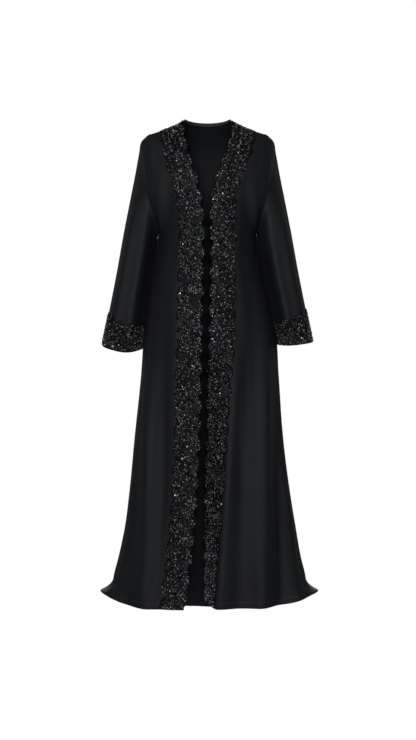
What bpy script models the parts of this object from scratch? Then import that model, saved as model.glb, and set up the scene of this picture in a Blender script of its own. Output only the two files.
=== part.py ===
"""An abaya: an open-front cloak of plain black crepe, hollow as when worn, with no wearer.

A band of raised floral lace runs down both front edges, from the shoulder seam to the hem, and
round both cuffs. Each sewn piece is a wall of cloth with two faces, made on a grid of rows and columns.

Sizes are millimetres here and metres in the meshes. +Z is up, the front faces -Y and the wearer's
left is +X. The origin is midway between the two neck points, where the wearer's shoulders carry the
cloak. "Drop" is the distance below the origin. "Side" is -1 for the wearer's right and 1 for the left.
"""

import math

import bmesh
import bpy
import numpy as np

MM = 0.001

# Driving sizes
NECK_HALF = 64.0
BACK_NECK_DEPTH = 50.0
BACK_NECK_DROP = 4.0
BACK_NECK_EASE = 3.2
SHOULDER_TIP = (172.0, 46.0)
SHOULDER_BEND, SHOULDER_BEND_PLACE = 0.13, 0.6
UNDERARM = (142.0, 330.0)
ARMHOLE_FRONT, ARMHOLE_BACK = 72.0, 70.0
ARMHOLE_EASE = 85.0
FRONT_CHEST_DROP, BACK_CHEST_DROP = 345.0, 345.0
FRONT_HEM, SIDE_HEM, BACK_HEM = 1396.0, 1377.0, 1436.0
TURN_WIDTH, TURN_SOFT, TURN_LIFT = 78.0, 13.0, 10.0
SLEEVE_SOFT = 4.0
INNER_FALL = 0.9
SLEEVE_EXTRA_DROP, SLEEVE_EXTRA_SAG = {-1: 8.0, 1: 0.0}, {-1: 12.0, 1: 0.0}
FLICK_LENGTH, FLICK_OUT, FLICK_RISE, FLICK_END = 50.0, 36.0, 0.47, 0.93

# Thicknesses
CLOTH = 1.5
LACE, LACE_RELIEF = 1.3, 1.3
TAPE, TAPE_WIDTH, TAPE_STAND_OFF = 1.0, 10.0, 1.1
SEAM_GAP = 0.3
LACE_STAND_OFF = 0.9

# Lace sizes
BAND_WIDTH = 70.0
CUFF_BAND = 80.0
SCALLOP, SCALLOP_PITCH = 8.0, 54.0
OVERHANG, CUFF_OVERHANG = 8.0, 4.0

# How finely each piece is divided
ARMHOLE_ROWS = 9
SKIRT_ROWS = 12
BAND_COLUMNS = 5
FRONT_COLUMNS = 14
NECK_COLUMNS, BACK_COLUMNS = 5, 12
SLEEVE_ROWS = 9
LACE_CELL = 18.0
FINE = 120


def table(columns, *rows):
    """One array for each named column."""
    return dict(zip(columns.split(), np.array(rows, float).T))


# The two front edges and the front's depth. Left_x is the edge before its strip turns in by left_turn degrees
EDGE = table(
    "drop right_x left_x depth left_turn",
    (0, 64, 64, 0, 0),
    (14, 74, 73.5, 20, 0),
    (42, 71, 71, 50, 0),
    (90, 61, 61, 80, 0),
    (128, 54, 47.5, 94, 0),
    (168, 38, 32, 104, 0),
    (212, 28.5, 19, 110, 0),
    (266, 18, 14, 112, 0),
    (345, 15, 15, 115, 0),
    (520, 18.5, 12, 117, 0),
    (640, 20, 10, 119, 4),
    (810, 24, -2, 123, 34),
    (1010, 30, -17, 130, 46),
    (1160, 41, -29, 137, 54),
    (1310, 56, -43, 142, 64),
    (1396, 67, -52, 143, 71),
)

# How far each side seam stands from the middle
SIDES = table(
    "drop right left",
    (330, 142, 142),
    (360, 143, 144),
    (436, 155, 155),
    (538, 173, 180),
    (616, 183, 197),
    (740, 192, 206),
    (913, 210, 218),
    (1087, 227, 240),
    (1173, 238, 254),
    (1260, 256, 269),
    (1325, 272, 284),
    (1377, 276, 287),
)

# How far the middle of the back stands behind the origin
BACK = table(
    "drop depth",
    (5, 50),
    (60, 84),
    (150, 99),
    (300, 103),
    (436, 102),
    (740, 107),
    (1087, 114),
    (1423, 124),
)

# Folds: where each lies across its panel, from 0 at the front edge or middle back to 1 at the side seam,
# at 500 mm and at the hem; its half width and its depth outwards; and the drops where it starts and is full
FRONT_FOLDS = {
    -1: table(
        "upper hem width depth start full",
        (0.50, 0.20, 24, -8, 400, 1000),
        (0.80, 0.35, 23, 10, 380, 1000),
        (0.95, 0.56, 22, -6, 800, 1250),
        (0.30, 0.22, 22, 3, 90, 250),
    ),
    1: table(
        "upper hem width depth start full",
        (0.36, 0.40, 20, 4, 220, 420),
        (0.41, 0.27, 34, -13, 300, 900),
        (0.67, 0.415, 24, 12, 400, 1000),
        (0.91, 0.55, 20, -10, 600, 1150),
        (1.00, 0.70, 22, 8, 800, 1250),
    ),
}
BACK_FOLDS = table(
    "upper hem width depth start full",
    (-0.62, -0.72, 26, -9, 620, 1350),
    (-0.46, -0.52, 30, 13, 420, 1300),
    (-0.26, -0.29, 28, -11, 520, 1300),
    (-0.08, -0.06, 30, 10, 640, 1350),
    (0.10, 0.15, 26, -9, 560, 1350),
    (0.28, 0.36, 32, 13, 380, 1300),
    (0.48, 0.57, 27, -10, 500, 1300),
    (0.64, 0.76, 26, 8, 700, 1350),
)

# Sleeve sections from the armhole to the cuff: the outer end, the inner end's drop and its clearance of
# the body, how far back the middle hangs, half the depth, and how far the front sags below the ends
SLEEVE = table(
    "place outer_x outer_drop inner_drop clearance middle_y half_depth sag",
    (0.00, 172, 46, 330, 0.0, 0, 71, 0),
    (0.05, 191, 63, 338, 0.8, 12, 75, 0),
    (0.12, 199, 98, 352, 1.3, 24, 79, 0),
    (0.22, 210, 156, 374, 2.0, 31, 82, 1),
    (0.34, 225, 230, 406, 3.0, 35, 84, 3),
    (0.48, 243, 320, 454, 4.2, 38, 84, 5),
    (0.64, 263, 430, 514, 5.4, 41, 82, 6),
    (0.82, 285, 540, 584, 6.3, 44, 80, 8),
    (1.00, 307, 641, 649, 6.5, 48, 78, 9),
)
SLEEVE_FOLDS = table(
    "armhole cuff width depth start full",
    (58, 46, 20, 9, 0.12, 0.5),
    (86, 72, 18, -3, 0.15, 0.6),
    (108, 98, 18, 3, 0.10, 0.5),
    (134, 126, 22, -6, 0.10, 0.5),
    (225, 235, 22, -5, 0.20, 0.7),
    (285, 300, 24, 5, 0.25, 0.8),
)


def smooth(value):
    """From 0 to 1 with level ends."""
    value = np.clip(value, 0.0, 1.0)
    return value * value * (3 - 2 * value)


def read(rows, column, at, by="drop"):
    """A column's value between its rows, on a smooth curve through them."""
    places, values = rows[by], rows[column]
    slopes = np.gradient(values, places)
    i = np.clip(np.searchsorted(places, at) - 1, 0, len(places) - 2)
    step = places[i + 1] - places[i]
    t = np.clip((at - places[i]) / step, 0.0, 1.0)
    ease = t * t * (3 - 2 * t)
    leave, arrive = t * (1 - t) ** 2, t * t * (1 - t)
    return (1 - ease) * values[i] + ease * values[i + 1] + step * (leave * slopes[i] - arrive * slopes[i + 1])


def unit(vectors):
    return vectors / np.maximum(np.linalg.norm(vectors, axis=-1, keepdims=True), 1e-9)


def lengths(points):
    """Distance along a line of points, from its first."""
    steps = np.linalg.norm(np.diff(points, axis=0), axis=1)
    return np.concatenate([[0.0], np.cumsum(steps)])


def along(points, places, at):
    """Points of a line at the given places."""
    return np.stack([np.interp(at, places, points[:, axis]) for axis in range(3)], axis=-1)


# The armhole

def armhole(side, angle, depth):
    """A point of the armhole: 0 at the shoulder tip and pi at the underarm. Depth is negative in front."""
    (tip_x, tip_drop), (under_x, under_drop) = SHOULDER_TIP, UNDERARM
    swing = (1 + np.cos(angle)) / 2
    x = under_x + (tip_x - under_x) * swing
    drop = under_drop + (tip_drop - under_drop) * swing
    return np.stack([side * x, depth * np.sin(angle), -drop], axis=-1)


def armhole_angle(share):
    """The angle that is this share of the way round the armhole from the tip to the underarm."""
    angles = np.linspace(0, math.pi, FINE)
    places = lengths(armhole(1, angles, -ARMHOLE_FRONT))
    return np.interp(share, places / places[-1], angles)


# Rows of the body: level 0 is the shoulder seam, 1 the underarm and 2 the hem

def body_levels():
    upper = np.linspace(0, 1, ARMHOLE_ROWS + 1)
    near_underarm = np.array([370.0, 410.0, 450.0])
    skirt = np.linspace(450, SIDE_HEM - FLICK_LENGTH, SKIRT_ROWS + 1)[1:]
    flick = np.array([SIDE_HEM - FLICK_LENGTH / 2, SIDE_HEM])
    drops = np.concatenate([near_underarm, skirt, flick])
    return np.concatenate([upper, 1 + (drops - UNDERARM[1]) / (SIDE_HEM - UNDERARM[1])])


def drop_at(level, top, chest, hem):
    if level <= 1:
        return top + (chest - top) * level
    return chest + (hem - chest) * (level - 1)


def outer_point(side, level, depth):
    """The panel's outer edge: the armhole, then the side seam."""
    if level <= 1:
        return armhole(side, armhole_angle(level), depth)
    drop = UNDERARM[1] + (SIDE_HEM - UNDERARM[1]) * (level - 1)
    width = read(SIDES, "right" if side < 0 else "left", drop)
    return np.array([side * width, 0.0, -drop])


def smooth_side(level, depth):
    """How far before or behind the middle a panel's side would stand if no armhole were cut there."""
    return depth * smooth((1 - level) / 0.6) * smooth(level / 0.35) if level < 1 else 0.0


def beside_armhole(line, change):
    """Moves a row's outer end forwards or backwards to the armhole, and the cloth near it less and less."""
    places = lengths(line)
    line[:, 1] += change * smooth(1 - (places[-1] - places) / ARMHOLE_EASE) ** 1.5
    return line


def flick(line, level, share, outwards):
    """Kicks the cloth out above the hem, as much as share says."""
    if level > 1:
        above = (2 - level) * (SIDE_HEM - UNDERARM[1])
        out = FLICK_OUT * share * min(max(1 - above / FLICK_LENGTH, 0) ** 1.6, FLICK_END)
        line[:, :2] += outwards * out[:, None]
        line[:, 2] += FLICK_RISE * out
    return line


def folded(line, folds, across, drop, outwards, reach):
    """Moves a row's points outwards by its folds, which die away towards its outer ends."""
    places = lengths(line)
    for k in range(len(folds["depth"])):
        down = np.clip((drop - 500) / (FRONT_HEM - 500), 0, 1)
        middle = folds["upper"][k] + (folds["hem"][k] - folds["upper"][k]) * down
        grown = smooth((drop - folds["start"][k]) / (folds["full"][k] - folds["start"][k]))
        at = np.interp(middle, across, places)
        bump = np.exp(-(((places - at) / folds["width"][k]) ** 2))
        line[:, :2] += outwards * (folds["depth"][k] * grown * bump * reach)[:, None]
    return line


def front_row(side, level):
    """A fine row of points across a front, from its front edge to its outer edge."""
    drop = drop_at(level, 0.0, FRONT_CHEST_DROP, FRONT_HEM)
    edge_x = side * read(EDGE, "right_x" if side < 0 else "left_x", drop)
    edge_y = -read(EDGE, "depth", drop)
    outer = outer_point(side, level, -ARMHOLE_FRONT)
    side_y = smooth_side(level, -ARMHOLE_FRONT)
    span = math.radians(40 + 50 * float(smooth(level)))
    turn = np.linspace(0, span, FINE)
    across = np.sin(turn) / math.sin(span)
    inwards = (1 - np.cos(turn)) / (1 - math.cos(span))
    if level <= 1:
        fall = across + (shoulder_fall(across) - across) * (1 - smooth(level * 2.5))
    else:
        fall = across ** (1 + 4 * (level - 1))
    line = np.stack(
        [
            edge_x + (outer[0] - edge_x) * across,
            edge_y + (side_y - edge_y) * inwards,
            -drop + (outer[2] + drop) * fall,
        ],
        axis=-1,
    )
    line = beside_armhole(line, outer[1] - side_y)
    heading = unit(np.gradient(line[:, :2], axis=0))
    outwards = np.stack([side * heading[:, 1], -side * heading[:, 0]], axis=-1)
    places = lengths(line)
    reach = smooth((places[-1] - places) / 45)
    line = folded(line, FRONT_FOLDS[side], turn / span, drop, outwards, reach)
    line = flick(line, level, smooth((turn / span - 0.55) / 0.4), outwards)
    return turned_in(line, read(EDGE, "left_turn", drop)) if side > 0 else line


def turned_in(line, degrees):
    """Turns the strip beside the front edge in towards the body, about a soft fold."""
    places = lengths(line)
    share = smooth((TURN_WIDTH + TURN_SOFT - places) / (2 * TURN_SOFT))
    steps = np.diff(line, axis=0)
    angle = -math.radians(max(float(degrees), 0.0)) * (share[1:] + share[:-1]) / 2
    x = steps[:, 0] * np.cos(angle) - steps[:, 1] * np.sin(angle)
    y = steps[:, 0] * np.sin(angle) + steps[:, 1] * np.cos(angle)
    turned = np.stack([x, y, steps[:, 2]], axis=-1)
    back = np.cumsum(turned[::-1], axis=0)[::-1]
    line = np.vstack([line[-1] - back, line[-1]])
    line[:, 2] += TURN_LIFT * (degrees / 68) ** 4 * np.clip(1 - places / TURN_WIDTH, 0, 1)
    return line


def shoulder_fall(share):
    """The shoulder seam's fall, steeper beside the neck."""
    return share + SHOULDER_BEND * np.sin(math.pi * share**SHOULDER_BEND_PLACE)


def shoulder(share):
    """A point of the wearer's left shoulder seam, from the neck point to the tip."""
    fall = shoulder_fall(share)
    x = NECK_HALF + (SHOULDER_TIP[0] - NECK_HALF) * share
    return np.stack([x, 0 * x, -SHOULDER_TIP[1] * fall], axis=-1)


def back_row(level):
    """A fine row of points across the back, and its places across from -1 to 1."""
    drop = drop_at(level, BACK_NECK_DROP, BACK_CHEST_DROP, BACK_HEM)
    middle_y = read(BACK, "depth", drop)
    span = math.radians(55 + 35 * float(smooth(level)))
    turn = np.linspace(0, span, FINE)
    across = np.sin(turn) / math.sin(span)
    inwards = (1 - np.cos(turn)) / (1 - math.cos(span))
    halves = []
    for side in (-1, 1):
        outer = outer_point(side, level, ARMHOLE_BACK)
        side_y = smooth_side(level, ARMHOLE_BACK)
        half = np.stack(
            [
                outer[0] * across,
                middle_y + (side_y - middle_y) * inwards,
                -drop + (outer[2] + drop) * across ** 2,
            ],
            axis=-1,
        )
        half = beside_armhole(half, outer[1] - side_y)
        half += (1 - smooth(level * BACK_NECK_EASE)) * (back_top(side) - back_base(side))
        halves.append(half)
    line = np.vstack([halves[0][:0:-1], halves[1]])
    place = np.concatenate([-turn[:0:-1], turn]) / span
    heading = unit(np.gradient(line[:, :2], axis=0))
    outwards = np.stack([-heading[:, 1], heading[:, 0]], axis=-1)
    if level > 1:
        reach = smooth((1 - abs(place)) / 0.15)
        line = folded(line, BACK_FOLDS, place, drop, outwards, reach)
        line = flick(line, level, 0.3 + 0.7 * smooth((abs(place) - 0.5) / 0.5), outwards)
    return line, place


def back_base(side):
    """The back's top row as its sections alone would make it."""
    turn = np.linspace(0, math.radians(55), FINE)
    across = np.sin(turn) / math.sin(turn[-1])
    inwards = (1 - np.cos(turn)) / (1 - math.cos(turn[-1]))
    tip_x, tip_drop = SHOULDER_TIP
    return np.stack(
        [
            side * tip_x * across,
            BACK_NECK_DEPTH * (1 - inwards),
            -BACK_NECK_DROP + (BACK_NECK_DROP - tip_drop) * across**2,
        ],
        axis=-1,
    )


def back_top(side):
    """The back's top row as it is cut: half the neck's curve, then the shoulder seam."""
    share = np.linspace(0, 1, FINE)
    neck_share = NECK_COLUMNS / BACK_COLUMNS
    angle = np.clip(share / neck_share, 0, 1) * math.pi / 2
    neck = np.stack(
        [
            NECK_HALF * np.sin(angle),
            BACK_NECK_DEPTH * np.cos(angle),
            -BACK_NECK_DROP * np.cos(angle) ** 2,
        ],
        axis=-1,
    )
    seam = shoulder(np.clip((share - neck_share) / (1 - neck_share), 0, 1))
    line = np.where((share < neck_share)[:, None], neck, seam)
    return line * np.array([side, 1, 1])


# Grids of points: rows run down, columns run across

def front_columns(length):
    """Where the columns stand: evenly under the lace, and evenly over the rest."""
    lace = np.linspace(0, BAND_WIDTH, BAND_COLUMNS + 1)
    rest = np.linspace(BAND_WIDTH, length, FRONT_COLUMNS - BAND_COLUMNS + 1)
    return np.concatenate([lace, rest[1:]])


def front_grid(side):
    rows = []
    for level in body_levels():
        line = front_row(side, level)
        places = lengths(line)
        rows.append(along(line, places, front_columns(places[-1])))
    return np.array(rows)


def back_grid():
    rows = []
    for level in body_levels():
        line, _ = back_row(level)
        centre = FINE - 1
        halves = []
        for half in (line[centre::-1], line[centre:]):
            places = lengths(half)
            even = np.linspace(0, places[-1], BACK_COLUMNS + 1)
            by_index = np.interp(np.linspace(0, 1, BACK_COLUMNS + 1), np.linspace(0, 1, FINE), places)
            blend = float(smooth(level * 2))
            halves.append(along(half, places, blend * even + (1 - blend) * by_index))
        rows.append(np.vstack([halves[0][:0:-1], halves[1]]))
    return np.array(rows)


def sleeve_places():
    """Rows of a sleeve: closer near the armhole, and even under the cuff's lace."""
    length = math.hypot(SLEEVE["outer_x"][-1] - SHOULDER_TIP[0], SLEEVE["outer_drop"][-1] - SHOULDER_TIP[1])
    lace_start = 1 - CUFF_BAND / length
    upper = lace_start * np.linspace(0, 1, SLEEVE_ROWS + 1) ** 1.25
    return np.concatenate([upper, np.linspace(lace_start, 1, BAND_COLUMNS + 1)[1:]])


def body_side(side, drop, y):
    """How far the body's side stands from the middle, at a depth behind the side seam."""
    width = read(SIDES, "right" if side < 0 else "left", drop)
    depth = np.where(y > 0, read(BACK, "depth", drop), read(EDGE, "depth", drop))
    return width * np.sqrt(np.clip(1 - (y / depth) ** 2, 0, 1))


def sleeve_ring(side, place, columns):
    """One ring of a sleeve. The columns run from the outer end round the front to the inner end and back."""
    outer_x, outer_drop, inner_drop, middle_y, half_depth, sag = (
        read(SLEEVE, name, place, "place")
        for name in ("outer_x", "outer_drop", "inner_drop", "middle_y", "half_depth", "sag")
    )
    outer_drop += SLEEVE_EXTRA_DROP[side] * place**3
    inner_drop += SLEEVE_EXTRA_DROP[side] * place**3
    sag += SLEEVE_EXTRA_SAG[side] * place**3
    clearance = read(SLEEVE, "clearance", place, "place")
    inner_x = body_side(side, inner_drop, middle_y) + clearance
    share = np.arange(columns) * 2 / columns
    half = np.where(share <= 1, share, 2 - share)
    angle = (1 - place) * armhole_angle(half) + place * half * math.pi
    angle = np.where(share <= 1, angle, 2 * math.pi - angle)
    depth = half_depth
    if place == 0:
        depth = np.where(share <= 1, ARMHOLE_FRONT, ARMHOLE_BACK)
    swing = (1 + np.cos(angle)) / 2
    front = np.clip(np.sin(angle), 0, 1) ** 2
    bulge = np.sin(angle)
    fallen = 1 + INNER_FALL * smooth(place / 0.3)
    bulge = np.where((share < 1) & (angle > math.pi / 2), abs(bulge) ** fallen, bulge)
    ring = np.stack(
        [
            inner_x + (outer_x - inner_x) * swing,
            middle_y - depth * bulge,
            -(inner_drop + (outer_drop - inner_drop) * swing + sag * front),
        ],
        axis=-1,
    )
    centre = np.array([(inner_x + outer_x) / 2, middle_y, -(inner_drop + outer_drop) / 2])
    outwards = unit((ring - centre) * np.array([1, 1, 0.2]))
    clear_of_body = smooth((1 + np.cos(angle)) / 0.35)
    for k in range(len(SLEEVE_FOLDS["depth"])):
        fold = {name: values[k] for name, values in SLEEVE_FOLDS.items()}
        middle = math.radians(fold["armhole"] + (fold["cuff"] - fold["armhole"]) * place)
        grown = smooth((place - fold["start"]) / (fold["full"] - fold["start"]))
        bump = np.exp(-(((angle - middle) / math.radians(fold["width"])) ** 2))
        ring += outwards * (fold["depth"] * grown * bump * clear_of_body)[:, None]
    if place > 0:
        limit = body_side(side, -ring[:, 2], ring[:, 1]) + clearance
        ease = SLEEVE_SOFT * min(1.0, place / 0.12)
        ring[:, 0] = (ring[:, 0] + limit + np.hypot(ring[:, 0] - limit, ease)) / 2
    return ring * np.array([side, 1, 1])


def sleeve_grid(side):
    return np.array([sleeve_ring(side, place, 2 * ARMHOLE_ROWS) for place in sleeve_places()])


# Outward directions, shared along the seams so that the pieces meet edge to edge

def directions(grid, around=False):
    """The outward direction at each point of a grid."""
    if around:
        across = np.roll(grid, -1, axis=1) - np.roll(grid, 1, axis=1)
    else:
        across = np.gradient(grid, axis=1)
    down = np.gradient(grid, axis=0)
    found = unit(np.cross(across, down))
    outside = grid - grid.mean(axis=(0, 1)) * np.array([1, 1, 0]) if around else grid * np.array([1, 1, 0])
    return found * (1 if (found * outside).sum() > 0 else -1)


def shoulder_direction(side):
    fall = SHOULDER_TIP[1] / (SHOULDER_TIP[0] - NECK_HALF)
    return unit(np.array([side * fall, 0, 1.0]))


def armhole_direction(side, points, own):
    """From inside the armhole outwards, turned to the piece's own direction towards the underarm.

    Body and sleeve share it over the shoulder, where their inner faces would otherwise cross."""
    centre = armhole(side, np.array(math.pi / 2), 0.0)
    out = unit(points - centre)
    return unit(out + own * smooth((-out[..., 2:] - 0.2) / 0.6))


def armhole_axis(side):
    """Across the armhole, from the body to the sleeve."""
    run = np.array(SHOULDER_TIP) - np.array(UNDERARM)
    return unit(np.array([side * -run[1], 0.0, run[0] * -1.0]))


def seamed_body(fronts, back):
    """Outward directions of the fronts and the back, made the same along their seams."""
    out_fronts = {side: directions(fronts[side]) for side in fronts}
    out_back = directions(back)
    arm = slice(0, ARMHOLE_ROWS + 1)
    skirt = slice(ARMHOLE_ROWS, None)
    for side, last in ((-1, 0), (1, -1)):
        out = out_fronts[side]
        shared = unit(out[skirt, -1] + out_back[skirt, last])
        out[skirt, -1] = out_back[skirt, last] = shared
        out[0, :] = shoulder_direction(side)
        seam = slice(0, BACK_COLUMNS - NECK_COLUMNS + 1)
        if side > 0:
            seam = slice(BACK_COLUMNS + NECK_COLUMNS, None)
        out_back[0, seam] = shoulder_direction(side)
        out[arm, -1] = armhole_direction(side, fronts[side][arm, -1], out[arm, -1])
        out_back[arm, last] = armhole_direction(side, back[arm, last], out_back[arm, last])
    return out_fronts, out_back


def body_seam(side, wall, last, near, away):
    """Moves a body piece's outer edge half a seam's gap back into it, at the armhole and down the side."""
    seam = wall[:, last] + unit(wall[:, near] - wall[:, last]) * SEAM_GAP / 2
    arm = slice(0, ARMHOLE_ROWS + 1)
    seam[arm] = wall[arm, last] - armhole_axis(side) * SEAM_GAP / 2
    seam[[0, ARMHOLE_ROWS], 1] += away * SEAM_GAP / 2
    wall[:, last] = seam


def trimmed_front(side, grid, out):
    outer, inner = grid.copy(), grid - CLOTH * out
    for face in (outer, inner):
        body_seam(side, face, -1, -2, -1)
        face[0, :-1, 1] -= SEAM_GAP / 2
    return outer, inner


def trimmed_back(grid, out):
    outer, inner = grid.copy(), grid - CLOTH * out
    for face in (outer, inner):
        for side, last, near in ((-1, 0, 1), (1, -1, -2)):
            body_seam(side, face, last, near, 1)
        face[0, 1:-1, 1] += SEAM_GAP / 2
    return outer, inner


def trimmed_sleeve(side, grid, out):
    out = out.copy()
    out[0] = armhole_direction(side, grid[0], out[0])
    outer, inner = grid.copy(), grid - CLOTH * out
    for face in (outer, inner):
        face[0] += armhole_axis(side) * SEAM_GAP / 2
    return outer, inner


# Lace

def scallop(place):
    """How far the lace's edge is drawn in, from 0 on a lobe's tip to 1 between lobes."""
    return (0.5 + 0.5 * math.cos(2 * math.pi * place / SCALLOP_PITCH)) ** 1.5


def relief(place, across):
    """The height of the raised flowers and leaves, from 0 to 1."""
    flower = math.cos(2 * math.pi * place / SCALLOP_PITCH + 2.2 * across)
    leaf = math.sin(math.pi * (3 * across + place / 31.0))
    return min(1.0, max(0.0, 0.5 + 0.35 * flower + 0.3 * leaf))


def divided(low, high, share):
    return low + (high - low) * share


def front_lace(outer, out):
    """Outer and inner faces of the lace on a front, from the front's own points moved out."""
    band, band_out = outer[:, : BAND_COLUMNS + 1], out[:, : BAND_COLUMNS + 1]
    band_out = unit(band_out)
    rows, heads = [], []
    for r in range(len(band) - 1):
        height = np.linalg.norm(band[r + 1, 0] - band[r, 0])
        parts = max(1, round(height / LACE_CELL))
        for k in range(parts):
            rows.append(divided(band[r], band[r + 1], k / parts))
            heads.append(unit(divided(band_out[r], band_out[r + 1], k / parts)))
    rows.append(band[-1])
    heads.append(band_out[-1])
    under, heads = np.array(rows), np.array(heads)
    places = lengths(under[:, 0])
    for r, place in enumerate(places):
        in_edge = unit(under[r, 0] - under[r, 1])
        drawn = (0.5 + OVERHANG * (1 - scallop(place + SCALLOP_PITCH / 3))) * smooth(place / 40)
        drawn_out = SCALLOP * scallop(place)
        under[r, 0] += in_edge * drawn
        under[r, -1] += unit(under[r, -2] - under[r, -1]) * drawn_out
    across = np.linspace(0, 1, BAND_COLUMNS + 1)
    height = np.array([[relief(place, a) for a in across] for place in places])
    inner = under + heads * LACE_STAND_OFF
    return inner + heads * (LACE + LACE_RELIEF * height)[..., None], inner


def cuff_lace(outer, out):
    """Outer and inner faces of the lace round a cuff, from the sleeve's own points moved out."""
    band, heads = outer[-BAND_COLUMNS - 1 :], unit(out[-BAND_COLUMNS - 1 :])
    between = divided(band, np.roll(band, -1, axis=1), 0.5)
    between_heads = unit(heads + np.roll(heads, -1, axis=1))
    rows, columns = band.shape[:2]
    under = np.stack([band, between], axis=2).reshape(rows, 2 * columns, 3)
    heads = np.stack([heads, between_heads], axis=2).reshape(rows, 2 * columns, 3)
    ring = np.linalg.norm(np.roll(under[-1], -1, axis=0) - under[-1], axis=1)
    places = np.concatenate([[0.0], np.cumsum(ring)[:-1]])
    places *= SCALLOP_PITCH * round(ring.sum() / SCALLOP_PITCH) / ring.sum()
    for c, place in enumerate(places):
        under[0, c] += unit(under[1, c] - under[0, c]) * SCALLOP * scallop(place)
        beyond = CUFF_OVERHANG * (1 - scallop(place + SCALLOP_PITCH / 2))
        under[-1, c] += unit(under[-1, c] - under[-2, c]) * beyond
    across = np.linspace(1, 0, rows)
    height = np.array([[relief(place, a) for place in places] for a in across])
    inner = under + heads * LACE_STAND_OFF
    return inner + heads * (LACE + LACE_RELIEF * height)[..., None], inner


def gaps_of(rows, columns, down, pattern):
    """Cells of a lace grid with a gap in them, one pattern of (row, column) for each length of down rows."""
    cells = {(row, column) for start in range(0, rows, down) for row, column in
             [(start + row, column) for row, column in pattern]}
    return {cell for cell in cells if cell[0] < rows and cell[1] < columns}


# Meshes and materials

def material(name, colour, roughness):
    made = bpy.data.materials.new(name)
    made.use_nodes = True
    shader = made.node_tree.nodes["Principled BSDF"]
    shader.inputs["Base Color"].default_value = (*colour, 1)
    shader.inputs["Roughness"].default_value = roughness
    shader.inputs["Metallic"].default_value = 0.0
    made.diffuse_color = (*colour, 1)
    return made


def gap_ring(points, corners):
    """Four points inside a cell, where its gap is cut."""
    centre = sum(points[corner] for corner in corners) / 4
    return [centre + (points[corner] - centre) * 0.5 for corner in corners]


def wall(name, outer, inner, finish, around=False, gaps=()):
    """A closed wall between two grids of points, with a hole through each cell that gaps names.

    Each cell is split along its lower diagonal, so that lace on the cloth stays clear of it."""
    rows, columns = outer.shape[:2]
    points = list(outer.reshape(-1, 3)) + list(inner.reshape(-1, 3))
    deep = rows * columns
    faces, edges = [], {}
    last = columns if around else columns - 1
    for r in range(rows - 1):
        for c in range(last):
            nxt = (c + 1) % columns
            cell = [r * columns + c, r * columns + nxt, (r + 1) * columns + nxt, (r + 1) * columns + c]
            for k in range(4):
                edge = (cell[k], cell[(k + 1) % 4])
                edges[edge] = (edge[1], edge[0]) not in edges
                if not edges[edge]:
                    edges[(edge[1], edge[0])] = False
            if (r, c) in gaps:
                first = len(points)
                points += gap_ring(points, cell) + gap_ring(points, [deep + v for v in cell])
                for k in range(4):
                    n = (k + 1) % 4
                    faces.append((cell[k], cell[n], first + n, first + k))
                    faces.append((deep + cell[n], deep + cell[k], first + 4 + k, first + 4 + n))
                    faces.append((first + k, first + n, first + 4 + n, first + 4 + k))
            else:
                outwards = points[cell[0]] - points[deep + cell[0]]
                if outwards @ (points[cell[0]] + points[cell[2]] - points[cell[1]] - points[cell[3]]) > 0:
                    cell = cell[1:] + cell[:1]
                for a, b, d in ((cell[0], cell[1], cell[2]), (cell[0], cell[2], cell[3])):
                    faces.append((a, b, d))
                    faces.append((deep + a, deep + d, deep + b))
    for (a, b), open_edge in edges.items():
        if open_edge:
            faces.append((b, a, deep + a, deep + b))
    mesh = bpy.data.meshes.new(name)
    mesh.from_pydata([tuple(point * MM) for point in points], [], faces)
    shape = bmesh.new()
    shape.from_mesh(mesh)
    bmesh.ops.recalc_face_normals(shape, faces=shape.faces)
    bmesh.ops.triangulate(shape, faces=[face for face in shape.faces if len(face.verts) > 3])
    shape.to_mesh(mesh)
    shape.free()
    mesh.shade_smooth()
    mesh.set_sharp_from_angle(angle=math.radians(40))
    mesh.materials.append(finish)
    piece = bpy.data.objects.new(name, mesh)
    bpy.context.scene.collection.objects.link(piece)
    return piece


def neck_tape(inner, out, finish):
    """The narrow tape inside the back neck, on the back's own inner points."""
    columns = slice(BACK_COLUMNS - NECK_COLUMNS, BACK_COLUMNS + NECK_COLUMNS + 1)
    top, below = inner[0, columns], inner[1, columns]
    heads = unit(out[0, columns] + out[1, columns])
    run = unit(below - top)
    face = np.array([top + run * step - heads * TAPE_STAND_OFF for step in (0.5, TAPE_WIDTH)])
    return wall("neck_tape", face, face - heads * TAPE, finish)


def main():
    for old in list(bpy.data.objects):
        bpy.data.objects.remove(old, do_unlink=True)
    crepe = material("black crepe", (0.016, 0.017, 0.021), 0.82)
    lace = material("beaded lace", (0.028, 0.027, 0.033), 0.55)
    tape = material("neck tape", (0.012, 0.012, 0.015), 0.7)

    fronts = {side: front_grid(side) for side in (-1, 1)}
    back = back_grid()
    out_fronts, out_back = seamed_body(fronts, back)
    back_outer, back_inner = trimmed_back(back, out_back)
    wall("back", back_outer, back_inner, crepe)
    neck_tape(back_inner, out_back, tape)

    for side, word in ((-1, "right"), (1, "left")):
        outer, inner = trimmed_front(side, fronts[side], out_fronts[side])
        wall(f"front_{word}", outer, inner, crepe)
        lace_outer, lace_inner = front_lace(outer, out_fronts[side])
        gaps = gaps_of(len(lace_outer) - 1, BAND_COLUMNS, 9, [(1, 1), (4, 3), (6, 2)])
        wall(f"lace_front_{word}", lace_outer, lace_inner, lace, gaps=gaps)

        grid = sleeve_grid(side)
        out = directions(grid, around=True)
        outer, inner = trimmed_sleeve(side, grid, out)
        wall(f"sleeve_{word}", outer, inner, crepe, around=True)
        lace_outer, lace_inner = cuff_lace(outer, out)
        gaps = {(row, column) for row, start in ((1, 0), (3, 2)) for column in range(start, 36, 6)}
        wall(f"lace_cuff_{word}", lace_outer, lace_inner, lace, around=True, gaps=gaps)


main()
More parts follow.
